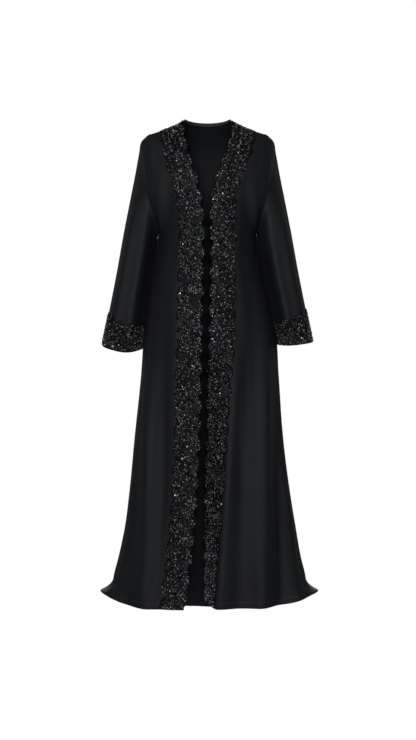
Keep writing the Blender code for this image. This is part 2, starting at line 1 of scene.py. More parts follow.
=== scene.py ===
"""The looks of an open-front abaya: crepe cloth, beaded floral lace, stitching, light and camera.

Each cloth piece is a thin shell on its solid's own form, from the same tables and functions as the
solid, at a finer step and with small creases. Lace is laid out flat, as places along a band, across
it and above the cloth, and then put on the cloth.

Sizes are millimetres here and metres in the meshes. +Z is up, the front faces -Y and the wearer's
left is +X. The origin is midway between the two neck points. "Drop" is the distance below the
origin. "Side" is -1 for the wearer's right and 1 for the left.
"""

import math

import bpy
import numpy as np
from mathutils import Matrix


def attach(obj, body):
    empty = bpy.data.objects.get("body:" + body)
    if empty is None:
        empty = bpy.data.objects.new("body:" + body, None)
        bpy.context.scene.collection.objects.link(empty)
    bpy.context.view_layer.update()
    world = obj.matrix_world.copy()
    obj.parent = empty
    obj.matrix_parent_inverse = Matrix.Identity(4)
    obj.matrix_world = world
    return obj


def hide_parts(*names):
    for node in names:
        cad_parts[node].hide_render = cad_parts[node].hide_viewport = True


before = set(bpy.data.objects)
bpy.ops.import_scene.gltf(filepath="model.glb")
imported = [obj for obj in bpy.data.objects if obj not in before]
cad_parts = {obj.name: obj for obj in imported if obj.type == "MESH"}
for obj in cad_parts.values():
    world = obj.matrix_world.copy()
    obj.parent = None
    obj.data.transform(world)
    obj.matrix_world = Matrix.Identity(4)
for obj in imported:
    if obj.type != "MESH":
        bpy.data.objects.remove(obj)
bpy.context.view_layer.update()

MM = 0.001
BODY = "root"

# Driving sizes, as in the solids
NECK_HALF = 64.0
BACK_NECK_DEPTH = 50.0
BACK_NECK_DROP = 4.0
BACK_NECK_EASE = 3.2
SHOULDER_TIP = (172.0, 46.0)
SHOULDER_BEND, SHOULDER_BEND_PLACE = 0.13, 0.6
UNDERARM = (142.0, 330.0)
ARMHOLE_FRONT, ARMHOLE_BACK = 72.0, 70.0
ARMHOLE_EASE = 85.0
FRONT_CHEST_DROP, BACK_CHEST_DROP = 345.0, 345.0
FRONT_HEM, SIDE_HEM, BACK_HEM = 1396.0, 1377.0, 1436.0
TURN_WIDTH, TURN_SOFT, TURN_LIFT = 78.0, 13.0, 10.0
SLEEVE_SOFT = 4.0
INNER_FALL = 0.9
SLEEVE_EXTRA_DROP, SLEEVE_EXTRA_SAG = {-1: 8.0, 1: 0.0}, {-1: 12.0, 1: 0.0}
FLICK_LENGTH, FLICK_OUT, FLICK_RISE, FLICK_END = 50.0, 36.0, 0.47, 0.93
SEAM_GAP = 0.3
BAND_WIDTH = 70.0
CUFF_BAND = 80.0
SCALLOP, SCALLOP_PITCH = 8.0, 54.0
OVERHANG = 8.0
FOLDS_TOP = 500.0
TAPE, TAPE_WIDTH, TAPE_STAND_OFF = 1.0, 10.0, 1.1
LACE_CELL = 18.0
SOLID_ARMHOLE_ROWS, SOLID_SKIRT_ROWS = 9, 12
SOLID_BAND_COLUMNS = 5
FRONT_TURN, BACK_TURN = 40.0, 55.0

# Cloth
CLOTH = 1.3
HEM_TURN, HEM_EXTRA = 20.0, 0.9
EDGE_STEP, SEAM_STEP = 0.7, 3.0
EDGE_ROUND = 0.35
SEAM_DIP = 0.8
WAVE_HEIGHT = 0.7

# How finely each piece is divided
ARMHOLE_ROWS = 60
SKIRT_ROWS = 168
FLICK_ROWS = 10
BAND_COLUMNS = 14
FRONT_COLUMNS = 58
NECK_COLUMNS, BACK_COLUMNS = 20, 48
SLEEVE_AROUND = 72
SLEEVE_ROWS = 84
FINE = 200

# Lace
NET_LIFT, NET = 0.4, 0.7
NET_CELL = 3.6
ON_NET = NET_LIFT + NET
GAP_HALF = (4.6, 3.6)
VINE_PITCH, FLOWER_PITCH = 108.0, 54.0
VINE_LEAF_PITCH, NECK_LEAF_PITCH = 11.0, 14.5
NECK_LEAVES_END = 168.0
NECK_LEAF_SHARES = (0.1, 0.3, 0.5, 0.7, 0.89)
BIG_FLOWER, SMALL_FLOWER = 15.5, 9.5
PETAL = 0.84
FILL_PITCH = 3.15
STEM, EDGE_CORD = 0.7, 0.5

# Colours of the cloths and threads, from dark to light, and the glass's grey and tint by its tone
CREPE = (0.0010, 0.0011, 0.0017), (0.0018, 0.0020, 0.0029)
RAYON = (0.0003, 0.0003, 0.0004), (0.0012, 0.0011, 0.0014), (0.005, 0.0046, 0.0058)
TWILL = (0.004, 0.004, 0.005), (0.011, 0.011, 0.013)
SEWING = (0.006, 0.006, 0.007), (0.02, 0.02, 0.023)
FLOOR = (0.88, 0.88, 0.88), (0.9, 0.9, 0.9)
GLASS = ((0.0, 0.0003), (0.45, 0.0015), (0.75, 0.015), (1.0, 0.125))
TINTS = ((0.35, (0.9, 1.0, 0.9)), (0.5, (1.0, 0.97, 1.0)), (0.65, (0.95, 0.9, 1.1)))

# The view and the light
CAMERA_PLACE = (0.0015, -4.2, -0.725)
LENS = 70.7
FLOOR_DROP, FLOOR_RADIUS, FLOOR_SIDES = 2.0, 1.0, 96
ROOM_LIGHT = 0.25
LIGHT_AIM = (0, 0, -0.6)
LIGHTS = {
    "key_light": ((-0.8, -3.6, 1.3), 0.7, 235.0),
    "fill_light": ((0.06, -4.2, -0.3), 0.45, 165.0),
    "back_light": ((0.0, 3.8, 0.9), 1.6, 500.0),
    "left_side_light": ((-3.4, 1.8, 0.3), 1.4, 16.0),
    "right_side_light": ((3.4, 1.8, 0.3), 1.4, 16.0),
}


def table(columns, *rows):
    """One array for each named column."""
    return dict(zip(columns.split(), np.array(rows, float).T))


def records(rows):
    """A table's rows, each with its named values."""
    return [dict(zip(rows, values)) for values in zip(*rows.values())]


# The two front edges and the front's depth. Left_x is the edge before its strip turns in by left_turn degrees
EDGE = table(
    "drop right_x left_x depth left_turn",
    (0, 64, 64, 0, 0),
    (14, 74, 73.5, 20, 0),
    (42, 71, 71, 50, 0),
    (90, 61, 61, 80, 0),
    (128, 54, 47.5, 94, 0),
    (168, 38, 32, 104, 0),
    (212, 28.5, 19, 110, 0),
    (266, 18, 14, 112, 0),
    (345, 15, 15, 115, 0),
    (520, 18.5, 12, 117, 0),
    (640, 20, 10, 119, 4),
    (810, 24, -2, 123, 34),
    (1010, 30, -17, 130, 46),
    (1160, 41, -29, 137, 54),
    (1310, 56, -43, 142, 64),
    (1396, 67, -52, 143, 71),
)

# How far each side seam stands from the middle
SIDES = table(
    "drop right left",
    (330, 142, 142),
    (360, 143, 144),
    (436, 155, 155),
    (538, 173, 180),
    (616, 183, 197),
    (740, 192, 206),
    (913, 210, 218),
    (1087, 227, 240),
    (1173, 238, 254),
    (1260, 256, 269),
    (1325, 272, 284),
    (1377, 276, 287),
)

# How far the middle of the back stands behind the origin
BACK = table(
    "drop depth",
    (5, 50),
    (60, 84),
    (150, 99),
    (300, 103),
    (436, 102),
    (740, 107),
    (1087, 114),
    (1423, 124),
)

# Folds: where each lies across its panel, from 0 at the front edge or middle back to 1 at the side seam,
# at 500 mm and at the hem; its half width and its depth outwards; and the drops where it starts and is full
FRONT_FOLDS = {
    -1: table(
        "upper hem width depth start full",
        (0.50, 0.20, 24, -8, 400, 1000),
        (0.80, 0.35, 23, 10, 380, 1000),
        (0.95, 0.56, 22, -6, 800, 1250),
        (0.30, 0.22, 22, 3, 90, 250),
    ),
    1: table(
        "upper hem width depth start full",
        (0.36, 0.40, 20, 4, 220, 420),
        (0.41, 0.27, 34, -13, 300, 900),
        (0.67, 0.415, 24, 12, 400, 1000),
        (0.91, 0.55, 20, -10, 600, 1150),
        (1.00, 0.70, 22, 8, 800, 1250),
    ),
}
BACK_FOLDS = table(
    "upper hem width depth start full",
    (-0.62, -0.72, 26, -9, 620, 1350),
    (-0.46, -0.52, 30, 13, 420, 1300),
    (-0.26, -0.29, 28, -11, 520, 1300),
    (-0.08, -0.06, 30, 10, 640, 1350),
    (0.10, 0.15, 26, -9, 560, 1350),
    (0.28, 0.36, 32, 13, 380, 1300),
    (0.48, 0.57, 27, -10, 500, 1300),
    (0.64, 0.76, 26, 8, 700, 1350),
)

# Sleeve sections from the armhole to the cuff: the outer end, the inner end's drop and its clearance of
# the body, how far back the middle hangs, half the depth, and how far the front sags below the ends
SLEEVE = table(
    "place outer_x outer_drop inner_drop clearance middle_y half_depth sag",
    (0.00, 172, 46, 330, 0.0, 0, 71, 0),
    (0.05, 191, 63, 338, 0.8, 12, 75, 0),
    (0.12, 199, 98, 352, 1.3, 24, 79, 0),
    (0.22, 210, 156, 374, 2.0, 31, 82, 1),
    (0.34, 225, 230, 406, 3.0, 35, 84, 3),
    (0.48, 243, 320, 454, 4.2, 38, 84, 5),
    (0.64, 263, 430, 514, 5.4, 41, 82, 6),
    (0.82, 285, 540, 584, 6.3, 44, 80, 8),
    (1.00, 307, 641, 649, 6.5, 48, 78, 9),
)
SLEEVE_FOLDS = table(
    "armhole cuff width depth start full",
    (58, 46, 20, 9, 0.12, 0.5),
    (86, 72, 18, -3, 0.15, 0.6),
    (108, 98, 18, 3, 0.10, 0.5),
    (134, 126, 22, -6, 0.10, 0.5),
    (225, 235, 22, -5, 0.20, 0.7),
    (285, 300, 24, 5, 0.25, 0.8),
)

# Small creases: the share across at the upper and the lower end, those ends' drops, half width and height
FRONT_CREASES = {
    -1: table(
        "upper lower start end width height",
        (0.93, 0.62, 300, 470, 9, -2.2),
        (0.90, 0.74, 330, 640, 11, 1.8),
        (0.52, 0.46, 60, 330, 16, 1.6),
        (0.70, 0.66, 520, 980, 10, -1.8),
        (0.86, 0.83, 640, 1180, 12, 1.6),
        (0.56, 0.44, 760, 1330, 11, -1.7),
        (0.30, 0.27, 980, 1370, 9, 1.5),
        (0.73, 0.72, 1060, 1390, 10, -2.0),
        (0.90, 0.91, 1100, 1390, 11, -2.2),
    ),
    1: table(
        "upper lower start end width height",
        (0.94, 0.60, 310, 500, 10, -2.4),
        (0.88, 0.76, 350, 620, 12, 1.6),
        (0.55, 0.50, 70, 310, 15, 1.5),
        (0.44, 0.43, 560, 1010, 10, -1.6),
        (0.93, 0.90, 560, 1120, 12, 1.8),
        (0.81, 0.78, 880, 1370, 10, -1.8),
        (0.66, 0.67, 1020, 1390, 11, 1.9),
        (0.92, 0.92, 1090, 1390, 12, -2.3),
    ),
}
BACK_CREASES = table(
    "upper lower start end width height",
    (-0.88, -0.60, 320, 520, 11, -2.0),
    (0.90, 0.62, 310, 500, 11, -2.1),
    (-0.30, -0.22, 90, 420, 18, -1.5),
    (0.33, 0.24, 80, 460, 18, -1.6),
    (-0.86, -0.84, 560, 1180, 13, 1.7),
    (-0.36, -0.38, 700, 1390, 11, 1.6),
    (-0.16, -0.18, 880, 1420, 10, -1.8),
    (0.02, 0.04, 760, 1400, 12, 1.7),
    (0.21, 0.25, 900, 1420, 10, -1.6),
    (0.42, 0.46, 620, 1340, 12, 1.5),
    (0.85, 0.88, 640, 1400, 13, -2.0),
    (-0.64, -0.62, 1000, 1400, 11, 1.8),
)
# The same on a sleeve, round it in degrees and along it from the armhole to the cuff
SLEEVE_CREASES = table(
    "upper lower start end width height",
    (150, 95, 0.04, 0.30, 11, -2.0),
    (165, 120, 0.08, 0.42, 10, 1.7),
    (60, 66, 0.16, 0.62, 9, -1.4),
    (28, 20, 0.34, 0.95, 9, 1.3),
    (210, 262, 0.04, 0.34, 12, -2.0),
    (250, 270, 0.22, 0.80, 11, 1.5),
    (318, 330, 0.30, 0.92, 10, -1.4),
)


def smooth(value):
    """From 0 to 1 with level ends."""
    value = np.clip(value, 0.0, 1.0)
    return value * value * (3 - 2 * value)


def read(rows, column, at, by="drop"):
    """A column's value between its rows, on a smooth curve through them."""
    places, values = rows[by], rows[column]
    slopes = np.gradient(values, places)
    i = np.clip(np.searchsorted(places, at) - 1, 0, len(places) - 2)
    step = places[i + 1] - places[i]
    t = np.clip((at - places[i]) / step, 0.0, 1.0)
    ease = t * t * (3 - 2 * t)
    bend = t * (1 - t) ** 2 * slopes[i] - t * t * (1 - t) * slopes[i + 1]
    return (1 - ease) * values[i] + ease * values[i + 1] + step * bend


def unit(vectors):
    return vectors / np.maximum(np.linalg.norm(vectors, axis=-1, keepdims=True), 1e-9)


def stacked(*values):
    """Points from their coordinates, which may be single numbers."""
    return np.stack(np.broadcast_arrays(*values), axis=-1)


def ridge(apart, width):
    """A rounded ridge, 1 high, at each distance from its middle."""
    return np.exp(-((apart / width) ** 2))


def lengths(points, axis=0):
    """Distance along lines of points, from their first."""
    steps = np.linalg.norm(np.diff(points, axis=axis), axis=-1)
    return np.insert(np.cumsum(steps, axis=axis), 0, 0.0, axis=axis)


def along(points, places, at):
    """Points of a line at the given places."""
    return np.stack([np.interp(at, places, points[:, axis]) for axis in range(3)], axis=-1)


# The body's panels, as in the solids

def armhole(side, angle, depth):
    """A point of the armhole: 0 at the shoulder tip and pi at the underarm. Depth is negative in front."""
    (tip_x, tip_drop), (under_x, under_drop) = SHOULDER_TIP, UNDERARM
    swing = (1 + np.cos(angle)) / 2
    x = under_x + (tip_x - under_x) * swing
    drop = under_drop + (tip_drop - under_drop) * swing
    return stacked(side * x, depth * np.sin(angle), -drop)


def armhole_angle(share):
    """The angle that is this share of the way round the armhole from the tip to the underarm."""
    angles = np.linspace(0, math.pi, FINE)
    places = lengths(armhole(1, angles, -ARMHOLE_FRONT))
    return np.interp(share, places / places[-1], angles)


def skirt_levels(drops):
    return 1 + (drops - UNDERARM[1]) / (SIDE_HEM - UNDERARM[1])


def body_levels():
    """Rows of the body: level 0 is the shoulder seam, 1 the underarm and 2 the hem."""
    seam = np.array([0, EDGE_STEP, SEAM_STEP]) / FRONT_CHEST_DROP
    upper = np.concatenate([seam, np.linspace(0, 1, ARMHOLE_ROWS + 1)[1:]])
    skirt = np.linspace(UNDERARM[1], SIDE_HEM - FLICK_LENGTH, SKIRT_ROWS + 1)[1:]
    flick = np.linspace(SIDE_HEM - FLICK_LENGTH, SIDE_HEM - EDGE_STEP, FLICK_ROWS + 1)[1:]
    return np.concatenate([upper, skirt_levels(np.concatenate([skirt, flick, [SIDE_HEM]]))])


def solid_levels():
    """The rows that the solids have."""
    upper = np.linspace(0, 1, SOLID_ARMHOLE_ROWS + 1)
    near_underarm = np.array([370.0, 410.0, 450.0])
    skirt = np.linspace(450, SIDE_HEM - FLICK_LENGTH, SOLID_SKIRT_ROWS + 1)[1:]
    flick = np.array([SIDE_HEM - FLICK_LENGTH / 2, SIDE_HEM])
    return np.concatenate([upper, skirt_levels(np.concatenate([near_underarm, skirt, flick]))])


LEVELS = body_levels()
UNDERARM_ROW = int(np.argmin(abs(LEVELS - 1)))


def drop_at(level, top, chest, hem):
    if level <= 1:
        return top + (chest - top) * level
    return chest + (hem - chest) * (level - 1)


def outer_point(side, level, depth):
    """The panel's outer edge: the armhole, then the side seam."""
    if level <= 1:
        return armhole(side, armhole_angle(level), depth)
    drop = UNDERARM[1] + (SIDE_HEM - UNDERARM[1]) * (level - 1)
    width = read(SIDES, "right" if side < 0 else "left", drop)
    return np.array([side * width, 0.0, -drop])


def smooth_side(level, depth):
    """How far before or behind the middle a panel's side would stand if no armhole were cut there."""
    return depth * smooth((1 - level) / 0.6) * smooth(level / 0.35) if level < 1 else 0.0


def beside_armhole(line, change):
    """Moves a row's outer end forwards or backwards to the armhole, and the cloth near it less and less."""
    places = lengths(line)
    line[:, 1] += change * smooth(1 - (places[-1] - places) / ARMHOLE_EASE) ** 1.5
    return line


def flick(line, level, share, outwards):
    """Kicks the cloth out above the hem, as much as share says."""
    if level > 1:
        above = (2 - level) * (SIDE_HEM - UNDERARM[1])
        out = FLICK_OUT * share * min(max(1 - above / FLICK_LENGTH, 0) ** 1.6, FLICK_END)
        line[:, :2] += outwards * out[:, None]
        line[:, 2] += FLICK_RISE * out
    return line


def grown(fold, place):
    """How far a fold has grown at a place between where it starts and where it is full."""
    return smooth((place - fold["start"]) / (fold["full"] - fold["start"]))


def folded(line, folds, across, drop, outwards, reach):
    """Moves a row's points outwards by its folds, which die away towards its outer ends."""
    places = lengths(line)
    down = np.clip((drop - FOLDS_TOP) / (FRONT_HEM - FOLDS_TOP), 0, 1)
    for fold in records(folds):
        middle = fold["upper"] + (fold["hem"] - fold["upper"]) * down
        bump = ridge(places - np.interp(middle, across, places), fold["width"])
        line[:, :2] += outwards * (fold["depth"] * grown(fold, drop) * bump * reach)[:, None]
    return line


def section(level, top_turn):
    """A panel's round section: its turn at each point, and the shares across and towards the side there."""
    span = math.radians(top_turn + (90 - top_turn) * float(smooth(level)))
    turn = np.linspace(0, span, FINE)
    return turn / span, np.sin(turn) / math.sin(span), (1 - np.cos(turn)) / (1 - math.cos(span))


def level_outwards(line, side):
    """The level direction outwards at each point of a row."""
    heading = unit(np.gradient(line[:, :2], axis=0))
    return stacked(side * heading[:, 1], -side * heading[:, 0])


def front_row(side, level):
    """A fine row of points across a front, from its front edge to its outer edge."""
    drop = drop_at(level, 0.0, FRONT_CHEST_DROP, FRONT_HEM)
    edge_x = side * read(EDGE, "right_x" if side < 0 else "left_x", drop)
    edge_y = -read(EDGE, "depth", drop)
    outer = outer_point(side, level, -ARMHOLE_FRONT)
    side_y = smooth_side(level, -ARMHOLE_FRONT)
    share, across, inwards = section(level, FRONT_TURN)
    if level <= 1:
        fall = across + (shoulder_fall(across) - across) * (1 - smooth(level * 2.5))
    else:
        fall = across ** (1 + 4 * (level - 1))
    line = stacked(
        edge_x + (outer[0] - edge_x) * across,
        edge_y + (side_y - edge_y) * inwards,
        -drop + (outer[2] + drop) * fall,
    )
    line = beside_armhole(line, outer[1] - side_y)
    outwards = level_outwards(line, side)
    places = lengths(line)
    reach = smooth((places[-1] - places) / 45)
    line = folded(line, FRONT_FOLDS[side], share, drop, outwards, reach)
    line = flick(line, level, smooth((share - 0.55) / 0.4), outwards)
    return turned_in(line, read(EDGE, "left_turn", drop)) if side > 0 else line


def turned_in(line, degrees):
    """Turns the strip beside the front edge in towards the body, about a soft fold."""
    places = lengths(line)
    share = smooth((TURN_WIDTH + TURN_SOFT - places) / (2 * TURN_SOFT))
    steps = np.diff(line, axis=0)
    angle = -math.radians(max(float(degrees), 0.0)) * (share[1:] + share[:-1]) / 2
    x = steps[:, 0] * np.cos(angle) - steps[:, 1] * np.sin(angle)
    y = steps[:, 0] * np.sin(angle) + steps[:, 1] * np.cos(angle)
    turned = stacked(x, y, steps[:, 2])
    back = np.cumsum(turned[::-1], axis=0)[::-1]
    line = np.vstack([line[-1] - back, line[-1]])
    line[:, 2] += TURN_LIFT * (degrees / 68) ** 4 * np.clip(1 - places / TURN_WIDTH, 0, 1)
    return line


def shoulder_fall(share):
    """The shoulder seam's fall, steeper beside the neck."""
    return share + SHOULDER_BEND * np.sin(math.pi * share**SHOULDER_BEND_PLACE)


def shoulder(share):
    """A point of the wearer's left shoulder seam, from the neck point to the tip."""
    x = NECK_HALF + (SHOULDER_TIP[0] - NECK_HALF) * share
    return stacked(x, 0.0, -SHOULDER_TIP[1] * shoulder_fall(share))


def back_row(level):
    """A fine row of points across the back, from side to side."""
    drop = drop_at(level, BACK_NECK_DROP, BACK_CHEST_DROP, BACK_HEM)
    middle_y = read(BACK, "depth", drop)
    share, across, inwards = section(level, BACK_TURN)
    halves = []
    for side in (-1, 1):
        outer = outer_point(side, level, ARMHOLE_BACK)
        side_y = smooth_side(level, ARMHOLE_BACK)
        y = middle_y + (side_y - middle_y) * inwards
        half = stacked(outer[0] * across, y, -drop + (outer[2] + drop) * across**2)
        half = beside_armhole(half, outer[1] - side_y)
        half += (1 - smooth(level * BACK_NECK_EASE)) * (back_top(side) - back_base(side))
        halves.append(half)
    line = np.vstack([halves[0][:0:-1], halves[1]])
    place = np.concatenate([-share[:0:-1], share])
    outwards = level_outwards(line, -1)
    if level > 1:
        reach = smooth((1 - abs(place)) / 0.15)
        line = folded(line, BACK_FOLDS, place, drop, outwards, reach)
        line = flick(line, level, 0.3 + 0.7 * smooth((abs(place) - 0.5) / 0.5), outwards)
    return line


def back_base(side):
    """The back's top row as its sections alone would make it."""
    _, across, inwards = section(0, BACK_TURN)
    tip_x, tip_drop = SHOULDER_TIP
    fall = -BACK_NECK_DROP + (BACK_NECK_DROP - tip_drop) * across**2
    return stacked(side * tip_x * across, BACK_NECK_DEPTH * (1 - inwards), fall)


def back_top(side):
    """The back's top row as it is cut: half the neck's curve, then the shoulder seam."""
    share = np.linspace(0, 1, FINE)
    neck_share = NECK_COLUMNS / BACK_COLUMNS
    angle = np.clip(share / neck_share, 0, 1) * math.pi / 2
    fall = BACK_NECK_DROP * np.cos(angle) ** 2
    neck = stacked(NECK_HALF * np.sin(angle), BACK_NECK_DEPTH * np.cos(angle), -fall)
    seam = shoulder(np.clip((share - neck_share) / (1 - neck_share), 0, 1))
    line = np.where((share < neck_share)[:, None], neck, seam)
    return line * np.array([side, 1, 1])


# Grids of points: rows run down, columns run across

def front_columns(length):
    """Where the columns stand, close together beside the edges."""
    lace = np.linspace(0, BAND_WIDTH, BAND_COLUMNS + 1)
    rest = np.linspace(BAND_WIDTH, length - SEAM_STEP, FRONT_COLUMNS - BAND_COLUMNS + 1)
    return np.concatenate([[0, EDGE_STEP], lace[1:], rest[1:], [length - EDGE_STEP, length]])


def front_grid(side):
    lines = [front_row(side, level) for level in LEVELS]
    return np.array([along(line, lengths(line), front_columns(lengths(line)[-1])) for line in lines])


def back_shares():
    """Where half the back's columns stand, from its middle to its side, close together beside the seam."""
    even = np.linspace(0, 1, BACK_COLUMNS + 1)[:-1]
    return np.concatenate([even, [1 - SEAM_STEP / 300, 1 - EDGE_STEP / 300, 1]])


def back_grid():
    shares = back_shares()
    rows = []
    for level in LEVELS:
        line = back_row(level)
        centre = FINE - 1
        halves = []
        for half in (line[centre::-1], line[centre:]):
            places = lengths(half)
            by_index = np.interp(shares, np.linspace(0, 1, FINE), places)
            blend = float(smooth(level * 2))
            halves.append(along(half, places, blend * shares * places[-1] + (1 - blend) * by_index))
        rows.append(np.vstack([halves[0][:0:-1], halves[1]]))
    return np.array(rows)


def sleeve_length():
    return math.hypot(SLEEVE["outer_x"][-1] - SHOULDER_TIP[0], SLEEVE["outer_drop"][-1] - SHOULDER_TIP[1])


def sleeve_places():
    """Rows of a sleeve, close together beside its ends."""
    edge, seam = EDGE_STEP / sleeve_length(), SEAM_STEP / sleeve_length()
    even = np.linspace(0, 1, SLEEVE_ROWS + 1)[1:-1]
    return np.concatenate([[0, edge, seam], even, [1 - edge, 1]])


def body_side(side, drop, y):
    """How far the body's side stands from the middle, at a depth behind the side seam."""
    width = read(SIDES, "right" if side < 0 else "left", drop)
    depth = np.where(y > 0, read(BACK, "depth", drop), read(EDGE, "depth", drop))
    return width * np.sqrt(np.clip(1 - (y / depth) ** 2, 0, 1))


def crease_run(crease, place):
    """How far along a crease a place is, from 0 to 1, and where its middle lies there."""
    run = np.clip((place - crease["start"]) / (crease["end"] - crease["start"]), 0, 1)
    return run, crease["upper"] + (crease["lower"] - crease["upper"]) * run


def sleeve_ring(side, place, columns):
    """One ring of a sleeve. The columns run from the outer end round the front to the inner end and back."""
    outer_x, outer_drop, inner_drop, clearance, middle_y, half_depth, sag = (
        read(SLEEVE, name, place, "place") for name in SLEEVE if name != "place"
    )
    outer_drop += SLEEVE_EXTRA_DROP[side] * place**3
    inner_drop += SLEEVE_EXTRA_DROP[side] * place**3
    sag += SLEEVE_EXTRA_SAG[side] * place**3
    inner_x = body_side(side, inner_drop, middle_y) + clearance
    share = np.arange(columns) * 2 / columns
    half = np.where(share <= 1, share, 2 - share)
    angle = (1 - place) * armhole_angle(half) + place * half * math.pi
    angle = np.where(share <= 1, angle, 2 * math.pi - angle)
    depth = half_depth
    if place == 0:
        depth = np.where(share <= 1, ARMHOLE_FRONT, ARMHOLE_BACK)
    swing = (1 + np.cos(angle)) / 2
    front = np.clip(np.sin(angle), 0, 1) ** 2
    bulge = np.sin(angle)
    fallen = 1 + INNER_FALL * smooth(place / 0.3)
    bulge = np.where((share < 1) & (angle > math.pi / 2), abs(bulge) ** fallen, bulge)
    ring = stacked(
        inner_x + (outer_x - inner_x) * swing,
        middle_y - depth * bulge,
        -(inner_drop + (outer_drop - inner_drop) * swing + sag * front),
    )
    centre = np.array([(inner_x + outer_x) / 2, middle_y, -(inner_drop + outer_drop) / 2])
    outwards = unit((ring - centre) * np.array([1, 1, 0.2]))
    clear_of_body = smooth((1 + np.cos(angle)) / 0.35)
    for fold in records(SLEEVE_FOLDS):
        middle = math.radians(fold["armhole"] + (fold["cuff"] - fold["armhole"]) * place)
        bump = ridge(angle - middle, math.radians(fold["width"])) * clear_of_body
        ring += outwards * (fold["depth"] * grown(fold, place) * bump)[:, None]
    for crease in records(SLEEVE_CREASES):
        run, middle = crease_run(crease, place)
        bump = ridge(angle - math.radians(middle), math.radians(crease["width"])) * clear_of_body
        ring += outwards * (crease["height"] * math.sin(math.pi * run) * bump)[:, None]
    if place > 0:
        limit = body_side(side, -ring[:, 2], ring[:, 1]) + clearance
        ease = SLEEVE_SOFT * min(1.0, place / 0.12)
        ring[:, 0] = (ring[:, 0] + limit + np.hypot(ring[:, 0] - limit, ease)) / 2
    return ring * np.array([side, 1, 1])


def sleeve_grid(side):
    return np.array([sleeve_ring(side, place, SLEEVE_AROUND) for place in sleeve_places()])


# Outward directions, shared along the seams so that the pieces meet edge to edge

def directions(grid, around=False):
    """The outward direction at each point of a grid."""
    if around:
        across = np.roll(grid, -1, axis=1) - np.roll(grid, 1, axis=1)
    else:
        across = np.gradient(grid, axis=1)
    down = np.gradient(grid, axis=0)
    found = unit(np.cross(across, down))
    outside = grid * np.array([1, 1, 0])
    if around:
        outside = grid - grid.mean(axis=(0, 1)) * np.array([1, 1, 0])
    return found * (1 if (found * outside).sum() > 0 else -1)


def shoulder_direction(side):
    fall = SHOULDER_TIP[1] / (SHOULDER_TIP[0] - NECK_HALF)
    return unit(np.array([side * fall, 0, 1.0]))


def armhole_direction(side, points, own):
    """From inside the armhole outwards, turned to the piece's own direction towards the underarm."""
    centre = armhole(side, np.array(math.pi / 2), 0.0)
    out = unit(points - centre)
    return unit(out + own * smooth((-out[..., 2:] - 0.2) / 0.6))


def armhole_axis(side):
    """Across the armhole, from the body to the sleeve."""
    run = np.array(SHOULDER_TIP) - np.array(UNDERARM)
    return unit(np.array([side * -run[1], 0.0, run[0] * -1.0]))


def seamed_body(fronts, back):
    """Outward directions of the fronts and the back, made the same along their seams."""
    out_fronts = {side: directions(fronts[side]) for side in fronts}
    out_back = directions(back)
    arm = slice(0, UNDERARM_ROW + 1)
    skirt = slice(UNDERARM_ROW, None)
    half = back.shape[1] // 2
    for side, last in ((-1, 0), (1, -1)):
        out = out_fronts[side]
        shared = unit(out[skirt, -1] + out_back[skirt, last])
        out[skirt, -1] = out_back[skirt, last] = shared
        out[0, :] = shoulder_direction(side)
        seam = slice(0, half - NECK_COLUMNS + 1)
        if side > 0:
            seam = slice(half + NECK_COLUMNS, None)
        out_back[0, seam] = shoulder_direction(side)
        out[arm, -1] = armhole_direction(side, fronts[side][arm, -1], out[arm, -1])
        out_back[arm, last] = armhole_direction(side, back[arm, last], out_back[arm, last])
    return out_fronts, out_back


def body_seam(side, face, last, near, away):
    """Moves a body piece's outer edge half a seam's gap back into it, at the armhole and down the side."""
    seam = face[:, last] + unit(face[:, near] - face[:, last]) * SEAM_GAP / 2
    arm = slice(0, UNDERARM_ROW + 1)
    seam[arm] = face[arm, last] - armhole_axis(side) * SEAM_GAP / 2
    seam[[0, UNDERARM_ROW], 1] += away * SEAM_GAP / 2
    face[:, last] = seam


# The cloth's small form

def creased(grid, out, creases, share, drop):
    """Raises or sinks small creases and a faint wave, which die away at the side seams."""
    width = lengths(grid, 1)[:, -1:]
    reach = smooth((1 - abs(share)) / 0.08)
    height = np.zeros(drop.shape)
    for k, crease in enumerate(records(creases)):
        run, middle = crease_run(crease, drop)
        middle = middle + 0.012 * np.sin(run * 5 + k)
        apart = (share - middle) * width / np.ptp(share, axis=1)[:, None]
        height += crease["height"] * ridge(apart, crease["width"]) * np.sin(math.pi * run)
    wave = np.sin(share * 9 + drop / 130) * np.sin(drop / 97 + 3 * share)
    wave = wave + 0.6 * np.sin(share * 23 - drop / 61)
    return grid + out * ((height + WAVE_HEIGHT * wave * 0.5) * reach)[..., None]


def faces_of(grid, out, thickness, dips, edges):
    """Outer and inner faces of a cloth: sunk beside each seam and rounded at each edge."""
    dip = np.zeros(grid.shape[:2])
    for apart in dips:
        dip = np.maximum(dip, SEAM_DIP * (1 - smooth(apart / SEAM_STEP)))
    body = np.ones(grid.shape[:2])
    for apart in edges:
        body = np.minimum(body, EDGE_ROUND + (1 - EDGE_ROUND) * smooth(apart / EDGE_STEP))
    middle = grid - out * (dip + CLOTH / 2)[..., None]
    outer = middle + out * (CLOTH / 2 * body)[..., None]
    inner = middle - out * ((thickness - CLOTH / 2) * body)[..., None]
    return outer, inner


def hem_thickness(grid):
    """The cloth's thickness, more where it is turned up at the hem."""
    down = lengths(grid)
    above = down[-1:] - down
    return CLOTH + HEM_EXTRA * smooth((HEM_TURN + 1.5 - above) / 3)


# Meshes

